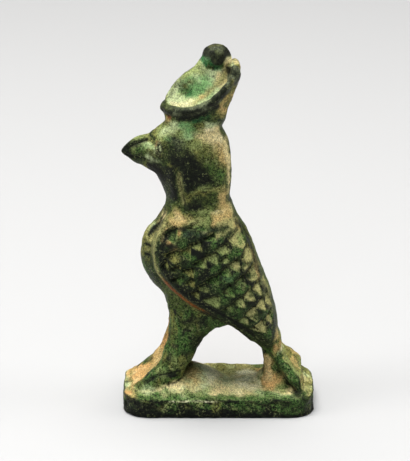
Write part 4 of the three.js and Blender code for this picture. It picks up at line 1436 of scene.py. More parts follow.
@dataclass(frozen=True)
class Crown(Part):
    """Cup with a worn rim, the tall crown that leans out of it, and the knob on top.

    Attributes:
        cup_ribs: The lower cup.
        swell: Outline just below the rim.
        rim: Outline of the rim.
        sag: How far the rim sags between its front and its back.
        drop: How far its sides hang at the back.
        lip: How far the hollow's edge lies inside the rim.
        depth: How deep the hollow is.
        floor_inset: How much further in the hollow's floor starts.
        floor_shares: Size of each ring of the floor, as a share of the one before.
        around: Points around one ring.
        lip_samples: Places along the rim that the dark polish follows.
        roll: Radius of the thick worn roll along the rim.
        roll_swell: How much thicker the roll is in front.
        roll_rise: How far it stands above the rim.
        notch: Depth of the dip in the middle of the back.
        notch_half: Half of the dip's width.
        lobe_at: Middle of the lobe on each side of the dip.
        lobe_size: Half of the lobe's size.
        tall: The tall crown.
        knob_at: Middle of the knob.
        knob_size: Half of its size.
        ridge: Dark line along the tall crown's front.
        strip: Pale band along the hollow's edge.
        wear: Uneven wear of the whole crown.
        strip_earth: Earth in the pale band.
        top_pewter: Grey of the knob's polish.
        lip_pewter: Grey of the rim's polish.
        dents: Hollows in the crown's sides.
        spots: Coats of the outside, with painted shade just under the rim.
        hollow_spots: Coats of the hollow and the tall crown.
        knob_tones_and_highlights: Coats of the knob: the grey, sage and olive streaks are painted
            highlights, the jade one its green base.
    """

    cup_ribs: tuple[Rib, ...] = (
        Rib((-8.3, 46.6), (0.35, 46.6), 3.3),
        Rib((-8.4, 47.8), (0.95, 47.8), 3.5),
        Rib((-8.6, 49.0), (1.3, 49.8), 3.9),
    )
    swell: Rib = Rib((-8.8, 49.3), (2.9, 53.4), 4.25)
    rim: Rib = Rib((-9.05, 50.2), (3.35, 56.7), 4.5)
    sag: float = 3.4
    drop: float = 0.8
    lip: float = 0.95
    depth: float = 1.5
    floor_inset: float = 0.55
    floor_shares: tuple[float, ...] = (0.6, 0.3)
    around: int = 72
    lip_samples: int = 90
    roll: float = 0.62
    roll_swell: float = 0.12
    roll_rise: float = 0.1
    notch: float = 0.9
    notch_half: float = 1.2
    lobe_at: tuple[float, float, float] = (1.9, 2.35, 55.55)
    lobe_size: tuple[float, float, float] = (1.05, 1.0, 1.55)
    tall: Loft = Loft(
        (
            Rib((-8.1, 49.6), (1.7, 51.4), 3.6),
            Rib((-8.4, 51.2), (2.2, 53.2), 2.7),
            Rib((-7.35, 53.1), (2.4, 54.7), 1.95),
            Rib((-5.8, 54.9), (2.4, 55.9), 1.6),
            Rib((-4.1, 56.2), (2.2, 56.9), 1.45),
            Rib((-3.3, 57.1), (1.9, 57.8), 1.5),
            Rib((-2.6, 58.0), (1.7, 58.5), 1.4),
        ),
        Section(1.6, 2.2),
    )
    knob_at: tuple[float, float, float] = (0.0, -0.45, 57.8)
    knob_size: tuple[float, float, float] = (1.8, 2.2, 2.1)
    ridge: Stroke = Stroke(
        ((-7.9, 52.2), (-7.0, 53.3), (-5.6, 54.8), (-4.1, 56.2), (-3.2, 57.2), (-2.8, 57.9)),
        0.7,
        0.0,
        reach=-1.0,
        taper=0.04,
    )
    strip: Stroke = Stroke(
        (
            (-7.8, 50.6), (-6.4, 50.7), (-4.6, 51.1), (-2.6, 52.1), (-0.8, 53.5), (0.8, 55.1),
            (1.6, 56.2),
        ),
        0.82,
        0.0,
        reach=0.6,
        taper=0.03,
    )
    wear: tuple[Lumps, ...] = (Lumps(0.10, 1.6, 9), Lumps(0.05, 0.8, 10))
    strip_earth: Wash = Wash(Coat.EARTH, 0.8, 0.0, 0.4, 0.8, 45)
    top_pewter: Wash = Wash(Coat.PEWTER, 0.6, -0.2, 0.8, 1.3, 43, 0.4)
    lip_pewter: Wash = Wash(Coat.PEWTER, 0.8, -0.1, 0.5, 0.9, 56, 0.6)
    dents: tuple[Spot, ...] = (
        Spot(None, (2.2, -4.4, 53.0), (2.4, 2.6, 1.9), -0.5),
        Spot(None, (1.8, -5.6, 52.8), (1.6, 1.0, 1.0), -0.22),
        Spot(None, (1.8, -1.6, 55.2), (2.2, 2.0, 1.6), -0.35),
        Spot(None, (2.0, -0.6, 56.3), (1.6, 1.6, 0.7), -0.22),
        Spot(None, (1.6, 1.5, 56.0), (1.4, 1.0, 1.2), -0.25),
        Spot(None, (2.0, -8.0, 49.0), (1.2, 0.7, 0.7), -0.3),
        Spot(None, (1.5, -8.5, 49.6), (0.8, 0.5, 0.5), -0.3),
        Spot(None, (3.9, -4.6, 49.3), (2.0, 4.0, 0.9), -0.3),
    )
    spots: tuple[Spot, ...] = (
        # Painted shade where the rim overhangs: dark green just under it.
        Spot(Coat.DEEP, (3.6, -3.4, 49.6), (2.6, 5.4, 2.2), 0.85),
        Spot(Coat.OLIVE, (2.9, 1.0, 51.6), (2.6, 2.0, 4.0), 0.95),
        Spot(Coat.EARTH, (2.4, 2.2, 52.6), (2.0, 1.0, 3.6), 0.7),
        Spot(Coat.EARTH, (2.7, 0.8, 50.3), (1.7, 1.0, 2.4), 0.9),
        Spot(Coat.JADE, (3.8, -2.6, 48.9), (1.8, 2.8, 1.3), 0.8),
        Spot(Coat.BRIGHT, (3.4, -5.2, 47.8), (1.8, 2.2, 0.9), 0.7),
        # Painted shade: dark under the rim, here and on the next line.
        Spot(Coat.METAL, (3.9, -4.4, 49.4), (1.8, 5.0, 1.1), 1.1),
        Spot(Coat.METAL, (4.2, -1.0, 51.2), (1.5, 2.4, 0.9), 0.9),
        Spot(Coat.JADE, (4.0, -3.6, 48.5), (1.0, 1.0, 0.7), 0.8),
        Spot(Coat.MINT, (3.0, -0.7, 47.7), (1.8, 1.7, 0.8), 0.9),
        Spot(Coat.MINT, (2.5, -7.0, 48.0), (1.7, 1.7, 0.8), 0.8),
        Spot(Coat.EARTH, (1.6, -8.2, 48.4), (1.8, 1.2, 1.2), 0.8),
        Spot(Coat.RUST, (2.1, -8.0, 49.1), (1.4, 0.8, 0.8), 1.0),
        # Painted shade: black just under the rim, here and on the next line.
        Spot(Coat.BLACK_AND_SHADE, (1.9, -8.4, 49.6), (1.2, 0.6, 0.6), 1.0),
        Spot(Coat.BLACK_AND_SHADE, (3.9, -4.6, 49.2), (1.6, 3.6, 0.8), 0.8),
        Spot(Coat.OLIVE, (2.9, -0.2, 49.6), (1.6, 1.2, 1.6), 0.6),
    )
    hollow_spots: tuple[Spot, ...] = (
        Spot(Coat.SAGE, (0.5, -5.6, 54.4), (1.3, 3.4, 3.2), 0.9),
        Spot(Coat.PEWTER, (0.5, -6.4, 53.2), (1.2, 2.2, 2.0), 0.7),
        Spot(Coat.SAGE, (0.9, -3.2, 56.2), (1.4, 2.0, 1.6), 0.6),
        Spot(Coat.MOULD, (1.3, -6.0, 52.2), (1.6, 1.6, 1.0), 0.6),
        Spot(Coat.BRIGHT, (2.1, -3.8, 53.3), (2.6, 3.8, 2.2), 1.0),
        Spot(Coat.BRIGHT, (1.7, -2.4, 54.4), (2.2, 2.4, 2.0), 0.75),
        Spot(Coat.MINT, (1.4, -1.8, 56.6), (1.4, 2.0, 1.0), 0.6),
        Spot(Coat.LEAF, (1.9, -5.6, 52.6), (1.7, 1.6, 1.1), 0.9),
        Spot(Coat.MINT, (1.7, -1.2, 55.2), (1.5, 1.6, 1.3), 0.6),
        Spot(Coat.JADE, (2.2, -5.0, 52.4), (1.2, 1.4, 0.9), 0.5),
        Spot(Coat.SAND, (2.0, 0.3, 54.6), (1.9, 1.4, 2.4), 0.95),
        Spot(Coat.EARTH, (1.8, 1.1, 55.4), (1.5, 1.0, 1.8), 0.7),
        Spot(Coat.SAND, (1.3, 1.9, 56.8), (1.9, 1.4, 1.4), 0.8),
    )
    # Painted highlights: streaks of grey, sage and olive on the knob; the jade spot is its green base.
    knob_tones_and_highlights: tuple[Spot, ...] = (
        Spot(Coat.PEWTER, (1.1, -0.9, 58.8), (1.1, 1.3, 1.2), 0.8),
        Spot(Coat.SAGE, (1.7, -0.4, 58.3), (0.7, 0.5, 0.9), 0.5),
        Spot(Coat.OLIVE, (0.6, -0.9, 59.8), (1.0, 1.3, 0.4), 0.6),
        Spot(Coat.JADE, (1.1, -1.9, 57.2), (1.2, 0.9, 0.8), 0.7),
    )

    def rim_ring(self, angles: np.ndarray, inset: float, drop: float) -> np.ndarray:
        """Return the rim's outline, drawn in by inset and let down by drop."""
        front, back = self.rim.front, self.rim.back
        inner = Rib((front[0] + inset, front[1]), (back[0] - inset, back[1]), self.rim.half - inset)
        ring = outline(np.array(inner.row()), Section(2.2, 3.0), angles)
        t = np.clip((ring[:, Y] - inner.front[0]) / (inner.back[0] - inner.front[0]), 0.0, 1.0)
        hang = self.drop * np.abs(np.sin(angles)) * t
        dip = self.notch * ease(self.notch_half, 0.0, np.abs(ring[:, X])) * ease(0.6, 1.0, t)
        ring[:, Z] -= self.sag * 4 * t**1.5 * (1 - t) ** 1.35 + hang + dip + drop
        return ring

    def swell_ring(self, angles: np.ndarray) -> np.ndarray:
        """Return the outline just below the rim, where the back stands out most."""
        ring = outline(np.array(self.swell.row()), Section(2.2, 2.4), angles)
        front, back = self.swell.front[0], self.swell.back[0]
        t = np.clip((ring[:, Y] - front) / (back - front), 0.0, 1.0)
        ring[:, Z] -= self.sag * 1.5 * t * (1 - t)
        return ring

    def lip_roll(self, angles: np.ndarray) -> Shell:
        """Return the thick worn roll that runs along the rim."""
        path = self.rim_ring(angles, self.roll, self.roll - self.roll_rise)
        t = (path[:, Y] - self.rim.front[0]) / (self.rim.back[0] - self.rim.front[0])
        return loop_tube(path, self.roll + self.roll_swell * ease(0.35, 0.1, t))

    def shells(self) -> list[Shell]:
        """Return the cup with its roll, the tall crown and the knob."""
        angles = turns(self.around)
        rings = [outline(np.array(rib.row()), Section(2.1, 2.3), angles) for rib in self.cup_ribs]
        rings.append(self.swell_ring(angles))
        floor = (self.lip + self.floor_inset, self.depth)
        for inset, drop in ((0.1, 0.6), (0.4, 0.25), (self.lip, 0.4), floor):
            rings.append(self.rim_ring(angles, inset, drop))
        for share in self.floor_shares:
            middle = rings[-1].mean(axis=0)
            rings.append(middle + share * (rings[-1] - middle))
        x, y, z = self.lobe_at
        lobes = [ball((side * x, y, z), self.lobe_size) for side in (1, -1)]
        knob = ball(self.knob_at, self.knob_size)
        return [ring_shell(rings), self.lip_roll(angles), self.tall.shell(), knob, *lobes]

    def lobe_weight(self, skin: Skin) -> np.ndarray:
        """Return 1 on the lobes and 0 elsewhere."""
        return ease(1.4, 1.1, share_away(folded(skin.points), self.lobe_at, self.lobe_size))

    def lip_weight(self, skin: Skin, lobes: np.ndarray) -> np.ndarray:
        """Return 1 along the roll of the rim and on the outside of the lobes, and 0 elsewhere."""
        near = np.full(len(skin.points), np.inf)
        for place in self.rim_ring(turns(self.lip_samples), self.roll, self.roll):
            near = np.minimum(near, np.linalg.norm(skin.points - place, axis=1))
        outward = ease(-0.2, 0.2, skin.normals[:, X] * np.sign(skin.points[:, X]))
        return np.maximum(ease(0.95, 0.55, near) * ease(2.4, 1.2, skin.points[:, Y]), lobes * outward)

    def inside(self, skin: Skin) -> np.ndarray:
        """Return 1 in the hollow and on the tall crown, and 0 elsewhere."""
        p = skin.points
        half_x = np.abs(p[:, X]) / (self.rim.half - self.lip)
        front = self.rim.front[0] + self.lip
        middle = (front + self.rim.back[0] - self.lip) / 2
        reach = self.rim.back[0] - self.lip - middle
        away = np.hypot(half_x, (p[:, Y] - middle) / reach)
        above = ease(48.8, 50.2, p[:, Z])
        return ease(1.08, 0.95, away) * above * ease(-0.2, 0.15, skin.normals[:, Z])

    def knob_weight(self, skin: Skin) -> np.ndarray:
        """Return 1 on the knob and 0 elsewhere."""
        return ease(1.25, 1.02, share_away(skin.points, self.knob_at, self.knob_size))

    def carve(self, skin: Skin) -> np.ndarray:
        """Return the dents and the uneven wear of the crown."""
        wear = ease(47.0, 49.0, skin.points[:, Z]) * relief(self.wear, skin)
        return wear + relief(self.dents, skin)

    def line_hollow(self, skin: Skin, stirred: np.ndarray) -> None:
        """Lay the coats of the hollow and the tall crown.

        Args:
            skin: The skin.
            stirred: Its points, pushed about so that the spots have ragged outlines.
        """
        p = skin.points
        inside = self.inside(skin)
        skin.paint(Coat.SAGE, inside, 0.0)
        skin.paint(Coat.MINT, 0.85 * inside)
        for spot in self.hollow_spots:
            spot.lay(skin, stirred, inside)
        strip = self.strip.weight(skin) * inside
        skin.paint(Coat.MOULD, 0.95 * strip)
        skin.paint(Coat.CREAM, 0.55 * strip * ease(-3.0, -5.5, p[:, Y]))
        self.strip_earth.lay(skin, strip * ease(-5.0, -3.0, p[:, Y]))
        ridge = 0.8 * self.ridge.weight(skin) * ease(0.25, -0.15, p[:, X])
        skin.paint(Coat.METAL, ridge * ease(-1.3, -0.6, p[:, X]))

    def line(self, skin: Skin) -> None:
        """Lay the hollow's coats, pale earth on the lobes, dark polish on the rim and the knob, and
        painted highlights on the rim's upper side and on the knob.
        """
        p = skin.points
        stirred = skin.stirred()
        self.line_hollow(skin, stirred)
        knob = self.knob_weight(skin)
        edge = 56.8 + 1.3 * ease(0.4, 1.5, np.abs(p[:, Y] + 0.2))
        skin.paint(Coat.JADE, 0.75 * knob * ease(-1.3, -0.4, p[:, Z] - edge) * ease(0.9, 0.2, p[:, Y]))
        skin.paint(Coat.SAND, 0.9 * knob * ease(0.4, 1.0, p[:, Y]) * ease(58.0, 57.2, p[:, Z]))
        above = knob * ease(-0.35, 0.35, p[:, Z] - edge)
        lobes = self.lobe_weight(skin)
        skin.paint(Coat.SAND, 0.8 * lobes)
        lip = self.lip_weight(skin, lobes)
        skin.paint(Coat.POLISH, np.maximum(lip, above), 0.2)
        self.top_pewter.lay(skin, above)
        self.lip_pewter.lay(skin, lip)
        # Painted highlights on the knob, with the green of its base.
        for spot in self.knob_tones_and_highlights:
            spot.lay(skin, stirred, knob)
        # Painted highlight: the upward-facing part of the roll is painted paler grey, and sage towards
        # the front.
        worn = lip * ease(0.0, 0.7, skin.normals[:, Z])
        skin.paint(Coat.PEWTER, 0.9 * worn, 0.9)
        skin.paint(Coat.SAGE, 0.6 * worn * ease(-6.5, -8.0, p[:, Y]), 0.9)


@dataclass(frozen=True)
class Tail(Part):
    """Tail that slants to the back of the plinth, and the web in front of it."""

    slab: Loft = Loft(
        (
            Rib((6.4, 12.6), (9.3, 12.9), 2.3),
            Rib((7.6, 10.4), (10.0, 11.0), 3.2),
            Rib((8.6, 8.6), (10.4, 9.0), 3.2),
            Rib((9.6, 6.8), (11.8, 7.7), 4.1),
            Rib((10.7, 5.2), (13.3, 6.1), 5.3),
            Rib((11.7, 4.0), (13.7, 4.5), 5.9),
            Rib((12.3, 2.65), (14.3, 2.65), 6.1),
        ),
        Section(4.0, 5.0),
    )
    web: Loft = Loft(
        (
            Rib((6.3, 11.0), (9.0, 11.0), 1.6),
            Rib((6.9, 9.0), (9.8, 9.0), 1.7),
            Rib((7.2, 7.0), (11.0, 7.0), 2.1),
            Rib((6.9, 5.4), (12.0, 5.4), 2.9),
            Rib((6.0, 4.0), (12.8, 4.0), 4.0),
            Rib((5.0, 2.65), (13.2, 2.65), 4.8),
        ),
        Section(2.0, 2.0),
    )
    line_height: float = 0.06
    line_gap: float = 1.9
    lumps: Lumps = Lumps(0.24, 1.7, 16)
    worn: float = 0.1
    behind_washes: tuple[Wash, ...] = (
        Wash(Coat.SAGE, 0.9, -0.3, 0.4, 1.5, 44),
        Wash(Coat.EARTH, 0.8, 0.0, 0.5, 1.2, 40),
    )
    flank_wash: Wash = Wash(Coat.DEEP, 1.0, -0.2, 0.5, 1.6, 41)
    spots: tuple[Spot, ...] = (
        Spot(Coat.CLAY, (1.6, 8.2, 6.2), (2.4, 1.8, 3.6), 1.0),
        Spot(Coat.RUST, (2.2, 7.2, 4.6), (1.8, 0.9, 1.4), 0.4),
        Spot(Coat.CLAY, (3.6, 8.6, 4.6), (3.0, 3.0, 1.8), 0.9),
        Spot(Coat.CLAY, (3.8, 9.8, 5.2), (2.2, 1.5, 2.0), 0.8),
        Spot(Coat.SAND, (1.8, 8.0, 6.0), (2.0, 1.6, 3.0), 0.55),
        Spot(Coat.SAGE, (4.4, 10.4, 4.0), (2.0, 1.6, 1.2), 0.7),
        Spot(Coat.CLAY, (2.4, 9.8, 10.0), (1.6, 0.9, 1.0), 0.9),
        Spot(Coat.CREAM, (2.0, 10.2, 9.4), (1.2, 0.6, 0.7), 0.5),
        Spot(Coat.BLACK_AND_SHADE, (2.2, 7.4, 4.4), (0.7, 0.4, 0.3), 0.8),
        Spot(Coat.LEAF, (2.4, 7.6, 10.4), (2.2, 1.4, 1.8), 0.8),
        Spot(Coat.SAND, (2.0, 9.3, 12.6), (1.5, 1.0, 1.8), 0.8),
    )

    def shells(self) -> list[Shell]:
        """Return the tail and its web."""
        return [self.slab.shell(), self.web.shell()]

    def carve(self, skin: Skin) -> np.ndarray:
        """Return the shallow feather lines and the lumps of the tail's upper side."""
        p = skin.points
        on = ease(11.5, 10.0, p[:, Z]) * ease(4.0, 5.0, p[:, Z]) * ease(9.0, 10.0, p[:, Y])
        up = ease(0.1, 0.5, skin.normals[:, Z])
        lines = self.line_height * np.cos(p[:, X] * FULL_TURN / self.line_gap)
        return on * up * (lines + self.lumps.carve(skin) - self.worn)

    def ground(self, skin: Skin) -> None:
        """Lay olive, sage and earth on the tail's upper side and green on its flanks."""
        p = skin.points
        low = ease(12.5, 11.0, p[:, Z]) * ease(7.5, 8.5, p[:, Y] + 0.3 * (p[:, Z] - 8.0))
        facing = ease(0.0, 0.4, skin.normals[:, Y]) * ease(-0.2, 0.2, skin.normals[:, Z])
        behind = low * ease(3.6, 4.4, p[:, Z]) * facing
        skin.paint(Coat.OLIVE, behind, 0.0)
        lay_washes(self.behind_washes, skin, behind)
        flank = low * ease(0.4, 0.7, np.abs(skin.normals[:, X])) * ease(6.0, 7.0, p[:, Y])
        skin.paint(Coat.LEAF, flank)
        self.flank_wash.lay(skin, flank)


class NodeTree:
    """Short way to place and join nodes."""

    def __init__(self, tree: bpy.types.NodeTree) -> None:
        """Keep the tree."""
        self.tree = tree

    def add(
        self, kind: str, settings: dict[str, object] | None = None, **inputs: object
    ) -> bpy.types.Node:
        """Add a node.

        Args:
            kind: Blender's name for the node.
            settings: Properties to set on it.
            inputs: Values or sockets for its inputs, by name, with _ for a space, or iN for input N.

        Returns:
            The node.
        """
        node = self.tree.nodes.new(kind)
        for key, value in (settings or {}).items():
            setattr(node, key, value)
        for key, value in inputs.items():
            numbered = key[0] == "i" and key[1:].isdigit()
            socket = node.inputs[int(key[1:])] if numbered else node.inputs[key.replace("_", " ")]
            self.feed(socket, value)
        return node

    def feed(self, socket: bpy.types.NodeSocket, value: object) -> None:
        """Join a socket to another, or set its value."""
        if isinstance(value, bpy.types.NodeSocket):
            self.tree.links.new(value, socket)
        else:
            socket.default_value = value

    def math(self, operation: str, *values: object, clamp: bool = False) -> bpy.types.NodeSocket:
        """Add a Math node and return its result."""
        inputs = {f"i{k}": value for k, value in enumerate(values)}
        node = self.add("ShaderNodeMath", {"operation": operation, "use_clamp": clamp}, **inputs)
        return node.outputs[0]

    def vector(self, operation: str, *values: object) -> bpy.types.Node:
        """Add a Vector Math node and return it."""
        inputs = {f"i{k}": value for k, value in enumerate(values)}
        return self.add("ShaderNodeVectorMath", {"operation": operation}, **inputs)

    def scaled(self, vector: object, factor: object) -> bpy.types.NodeSocket:
        """Return a vector times a factor."""
        node = self.vector("SCALE", vector)
        self.feed(node.inputs["Scale"], factor)
        return node.outputs[0]

    def rise(self, value: object, low: object, high: object) -> bpy.types.NodeSocket:
        """Return a smooth rise from 0 at low to 1 at high."""
        settings = {"interpolation_type": "SMOOTHSTEP"}
        return self.add("ShaderNodeMapRange", settings, i0=value, i1=low, i2=high).outputs[0]


@dataclass(frozen=True)
class FeatherCutter:
    """Geometry Nodes tree that sinks a slanting three-cornered pit at each feather scale.

    Attributes:
        slope_step: Distance over which the flank's slope is measured, in millimetres.
        lean: How far, in degrees, a scale leans at most to either side.
        lean_seed: Picks which scales lean.
        scale_size: Factor on every scale's size.
        depth: Depth of a pit's upper side, in metres.
        wall: Half of the width over which a pit's side falls, as a share of the scale's size.
        rounding: How round the corners are, as a share of the scale's size.
        swell: How far the ridges between the pits stand up, in metres.
        uneven: How much the pits differ in depth.
        seed: Picks which pits are deeper.
        turn: Angle of the side that faces the back.
        width_share: Size of a scale's inner circle as a share of its width.
        height_share: The same, as a share of its height.
    """

    slope_step: float = 0.3
    lean: float = 14.0
    lean_seed: int = 12
    scale_size: float = 1.2
    depth: float = 0.80 * MM
    wall: float = 0.24
    rounding: float = 0.7
    swell: float = 0.1 * MM
    uneven: float = 0.4
    seed: int = 4
    turn: float = math.radians(4.0)
    width_share: float = 0.40
    height_share: float = 0.36

    def tree(self, values: dict[str, object]) -> bpy.types.NodeTree:
        """Build the tree.

        Args:
            values: Name and value of each of its inputs.

        Returns:
            The tree.
        """
        group = bpy.data.node_groups.new("feather_scales", "GeometryNodeTree")
        face = group.interface
        face.new_socket("Geometry", in_out="OUTPUT", socket_type="NodeSocketGeometry")
        face.new_socket("Geometry", in_out="INPUT", socket_type="NodeSocketGeometry")
        kinds = {bpy.types.Object: "Object", bpy.types.Material: "Material", int: "Int", float: "Float"}
        for name, value in values.items():
            face.new_socket(name, in_out="INPUT", socket_type=f"NodeSocket{kinds[type(value)]}")
        n = NodeTree(group)
        given = n.add("NodeGroupInput").outputs
        seats = n.add("GeometryNodeObjectInfo", Object=given["Scale seats"]).outputs["Geometry"]
        here = n.add("GeometryNodeInputPosition").outputs[0]
        nearest = {"Geometry": seats, "Sample_Position": here}
        index = n.add("GeometryNodeSampleNearest", {"domain": "POINT"}, **nearest).outputs[0]

        def of_seat(value: bpy.types.NodeSocket) -> bpy.types.NodeSocket:
            """Return a vector of the nearest seat."""
            settings = {"data_type": "FLOAT_VECTOR", "domain": "POINT"}
            inputs = {"Geometry": seats, "Value": value, "Index": index}
            return n.add("GeometryNodeSampleIndex", settings, **inputs).outputs[0]

        def along(name: str) -> bpy.types.NodeSocket:
            """Return how far this point lies from the seat along one of the seat's directions."""
            settings = {"data_type": "FLOAT_VECTOR"}
            direction = n.add("GeometryNodeInputNamedAttribute", settings, Name=name).outputs[0]
            return n.vector("DOT_PRODUCT", offset, of_seat(direction)).outputs["Value"]

        offset = n.vector("SUBTRACT", here, of_seat(here)).outputs[0]
        across, upward = along("across"), along("upward")
        sides = []
        for k in range(3):
            angle = self.turn + k * FULL_TURN / 3.0
            part = n.math("MULTIPLY", across, math.cos(angle))
            sides.append(n.math("MULTIPLY_ADD", upward, math.sin(angle), part))
        soft = given["Corner rounding"]
        widest = n.math("SMOOTH_MAX", n.math("SMOOTH_MAX", sides[0], sides[1], soft), sides[2], soft)
        beyond = n.math("SUBTRACT", widest, given["Scale size"])
        inner = n.math("MULTIPLY", given["Wall width"], -1.0)
        sunk = n.rise(beyond, given["Wall width"], inner)
        tilt = n.math("DIVIDE", sides[1], given["Scale size"])
        tilted = n.math("MULTIPLY_ADD", tilt, 0.5, 0.5, clamp=True)
        random = n.add("FunctionNodeRandomValue", {"data_type": "FLOAT"}, ID=index, Seed=given["Seed"])
        shallow = n.math("MULTIPLY", random.outputs[1], given["Unevenness"])
        share = n.math("SUBTRACT", 1.0, shallow)
        depth = n.math("MULTIPLY", n.math("MULTIPLY", given["Pit depth"], share), tilted)
        layer = {"data_type": "FLOAT"}
        feathers = n.add("GeometryNodeInputNamedAttribute", layer, Name=Layer.FEATHERS.value).outputs[0]
        pit = n.math("MULTIPLY", sunk, feathers)
        ridge = n.math("MULTIPLY", n.math("SUBTRACT", feathers, pit), given["Ridge swell"])
        height = n.math("SUBTRACT", ridge, n.math("MULTIPLY", pit, depth))
        move = n.scaled(n.add("GeometryNodeInputNormal").outputs[0], height)
        store = n.add(
            "GeometryNodeStoreNamedAttribute",
            {"data_type": "FLOAT", "domain": "POINT"},
            Geometry=given["Geometry"],
            Name=Layer.PIT.value,
            Value=pit,
        )
        moved = n.add("GeometryNodeSetPosition", Geometry=store.outputs[0], Offset=move)
        real = n.add("GeometryNodeRealizeInstances", Geometry=moved.outputs[0])
        dressed = n.add("GeometryNodeSetMaterial", Geometry=real.outputs[0], Material=given["Finish"])
        n.add("NodeGroupOutput", Geometry=dressed.outputs[0])
        return group

    def seats(self, wings: Wings) -> bpy.types.Object:
        """Make the points that the pits are cut at, with each one's directions.

        Args:
            wings: The wings that they lie on.

        Returns:
            An object with one point for each scale on both flanks. Its vectors "across" and "upward"
            are as long as one over the scale's inner size, so a length along them is a share of it.
        """
        y, z, wide, tall = np.array([(s.y, s.z, s.wide, s.tall) for s in wings.scales]).T
        random = np.random.default_rng(self.lean_seed)
        step = self.slope_step
        half = wings.folded.half_width
        slope_y = (half(y + step, z) - half(y - step, z)) / (2 * step)
        slope_z = (half(y, z + step) - half(y, z - step)) / (2 * step)
        out = unit(np.column_stack([np.ones(len(y)), -slope_y, -slope_z]))
        up = unit(UPWARD - out * out[:, Z:])
        across = np.cross(up, out)
        across *= np.sign(across[:, Y])[:, None]
        lean = np.radians(random.uniform(-self.lean, self.lean, len(y)))[:, None]
        turned = across * np.cos(lean) + up * np.sin(lean)
        raised = up * np.cos(lean) - across * np.sin(lean)
        turned /= (wide * MM * self.width_share)[:, None]
        raised /= (tall * MM * self.height_share)[:, None]
        points = np.column_stack([half(y, z), y, z]) * MM
        mirror = np.array([-1.0, 1.0, 1.0])
        mesh = plain_mesh("scale_seats", np.vstack([points, points * mirror]), [])
        for name, rows in (("across", turned), ("upward", raised)):
            values = np.vstack([rows, rows * mirror])
            attribute = mesh.attributes.new(name, "FLOAT_VECTOR", "POINT")
            attribute.data.foreach_set("vector", values.ravel())
        return placed("scale_seats", mesh)

    def cut(self, body: bpy.types.Object, wings: Wings, finish: bpy.types.Material) -> bpy.types.Mesh:
        """Cut the scales into the casting.

        Args:
            body: The casting, in metres, with its feather layer.
            wings: The wings.
            finish: The material that the tree sets.

        Returns:
            The plain carved mesh.
        """
        seats = self.seats(wings)
        values = {
            "Scale seats": seats,
            "Scale size": self.scale_size,
            "Pit depth": self.depth,
            "Wall width": self.wall,
            "Corner rounding": self.rounding,
            "Ridge swell": self.swell,
            "Unevenness": self.uneven,
            "Seed": self.seed,
            "Finish": finish,
        }
        modifier = body.modifiers.new("feather_scales", "NODES")
        modifier.node_group = self.tree(values)
        for item in modifier.node_group.interface.items_tree:
            if item.in_out == "INPUT" and item.name in values:
                modifier[item.identifier] = values[item.name]
        graph = bpy.context.evaluated_depsgraph_get()
        carved = bpy.data.meshes.new_from_object(body.evaluated_get(graph))
        body.modifiers.clear()
        bpy.data.meshes.remove(seats.data)
        return carved


def linear(screen: np.ndarray) -> np.ndarray:
    """Turn screen colours (0 to 1) into the linear colours that a shader takes."""
    return np.where(screen <= 0.04045, screen / 12.92, ((screen + 0.055) / 1.055) ** 2.4)


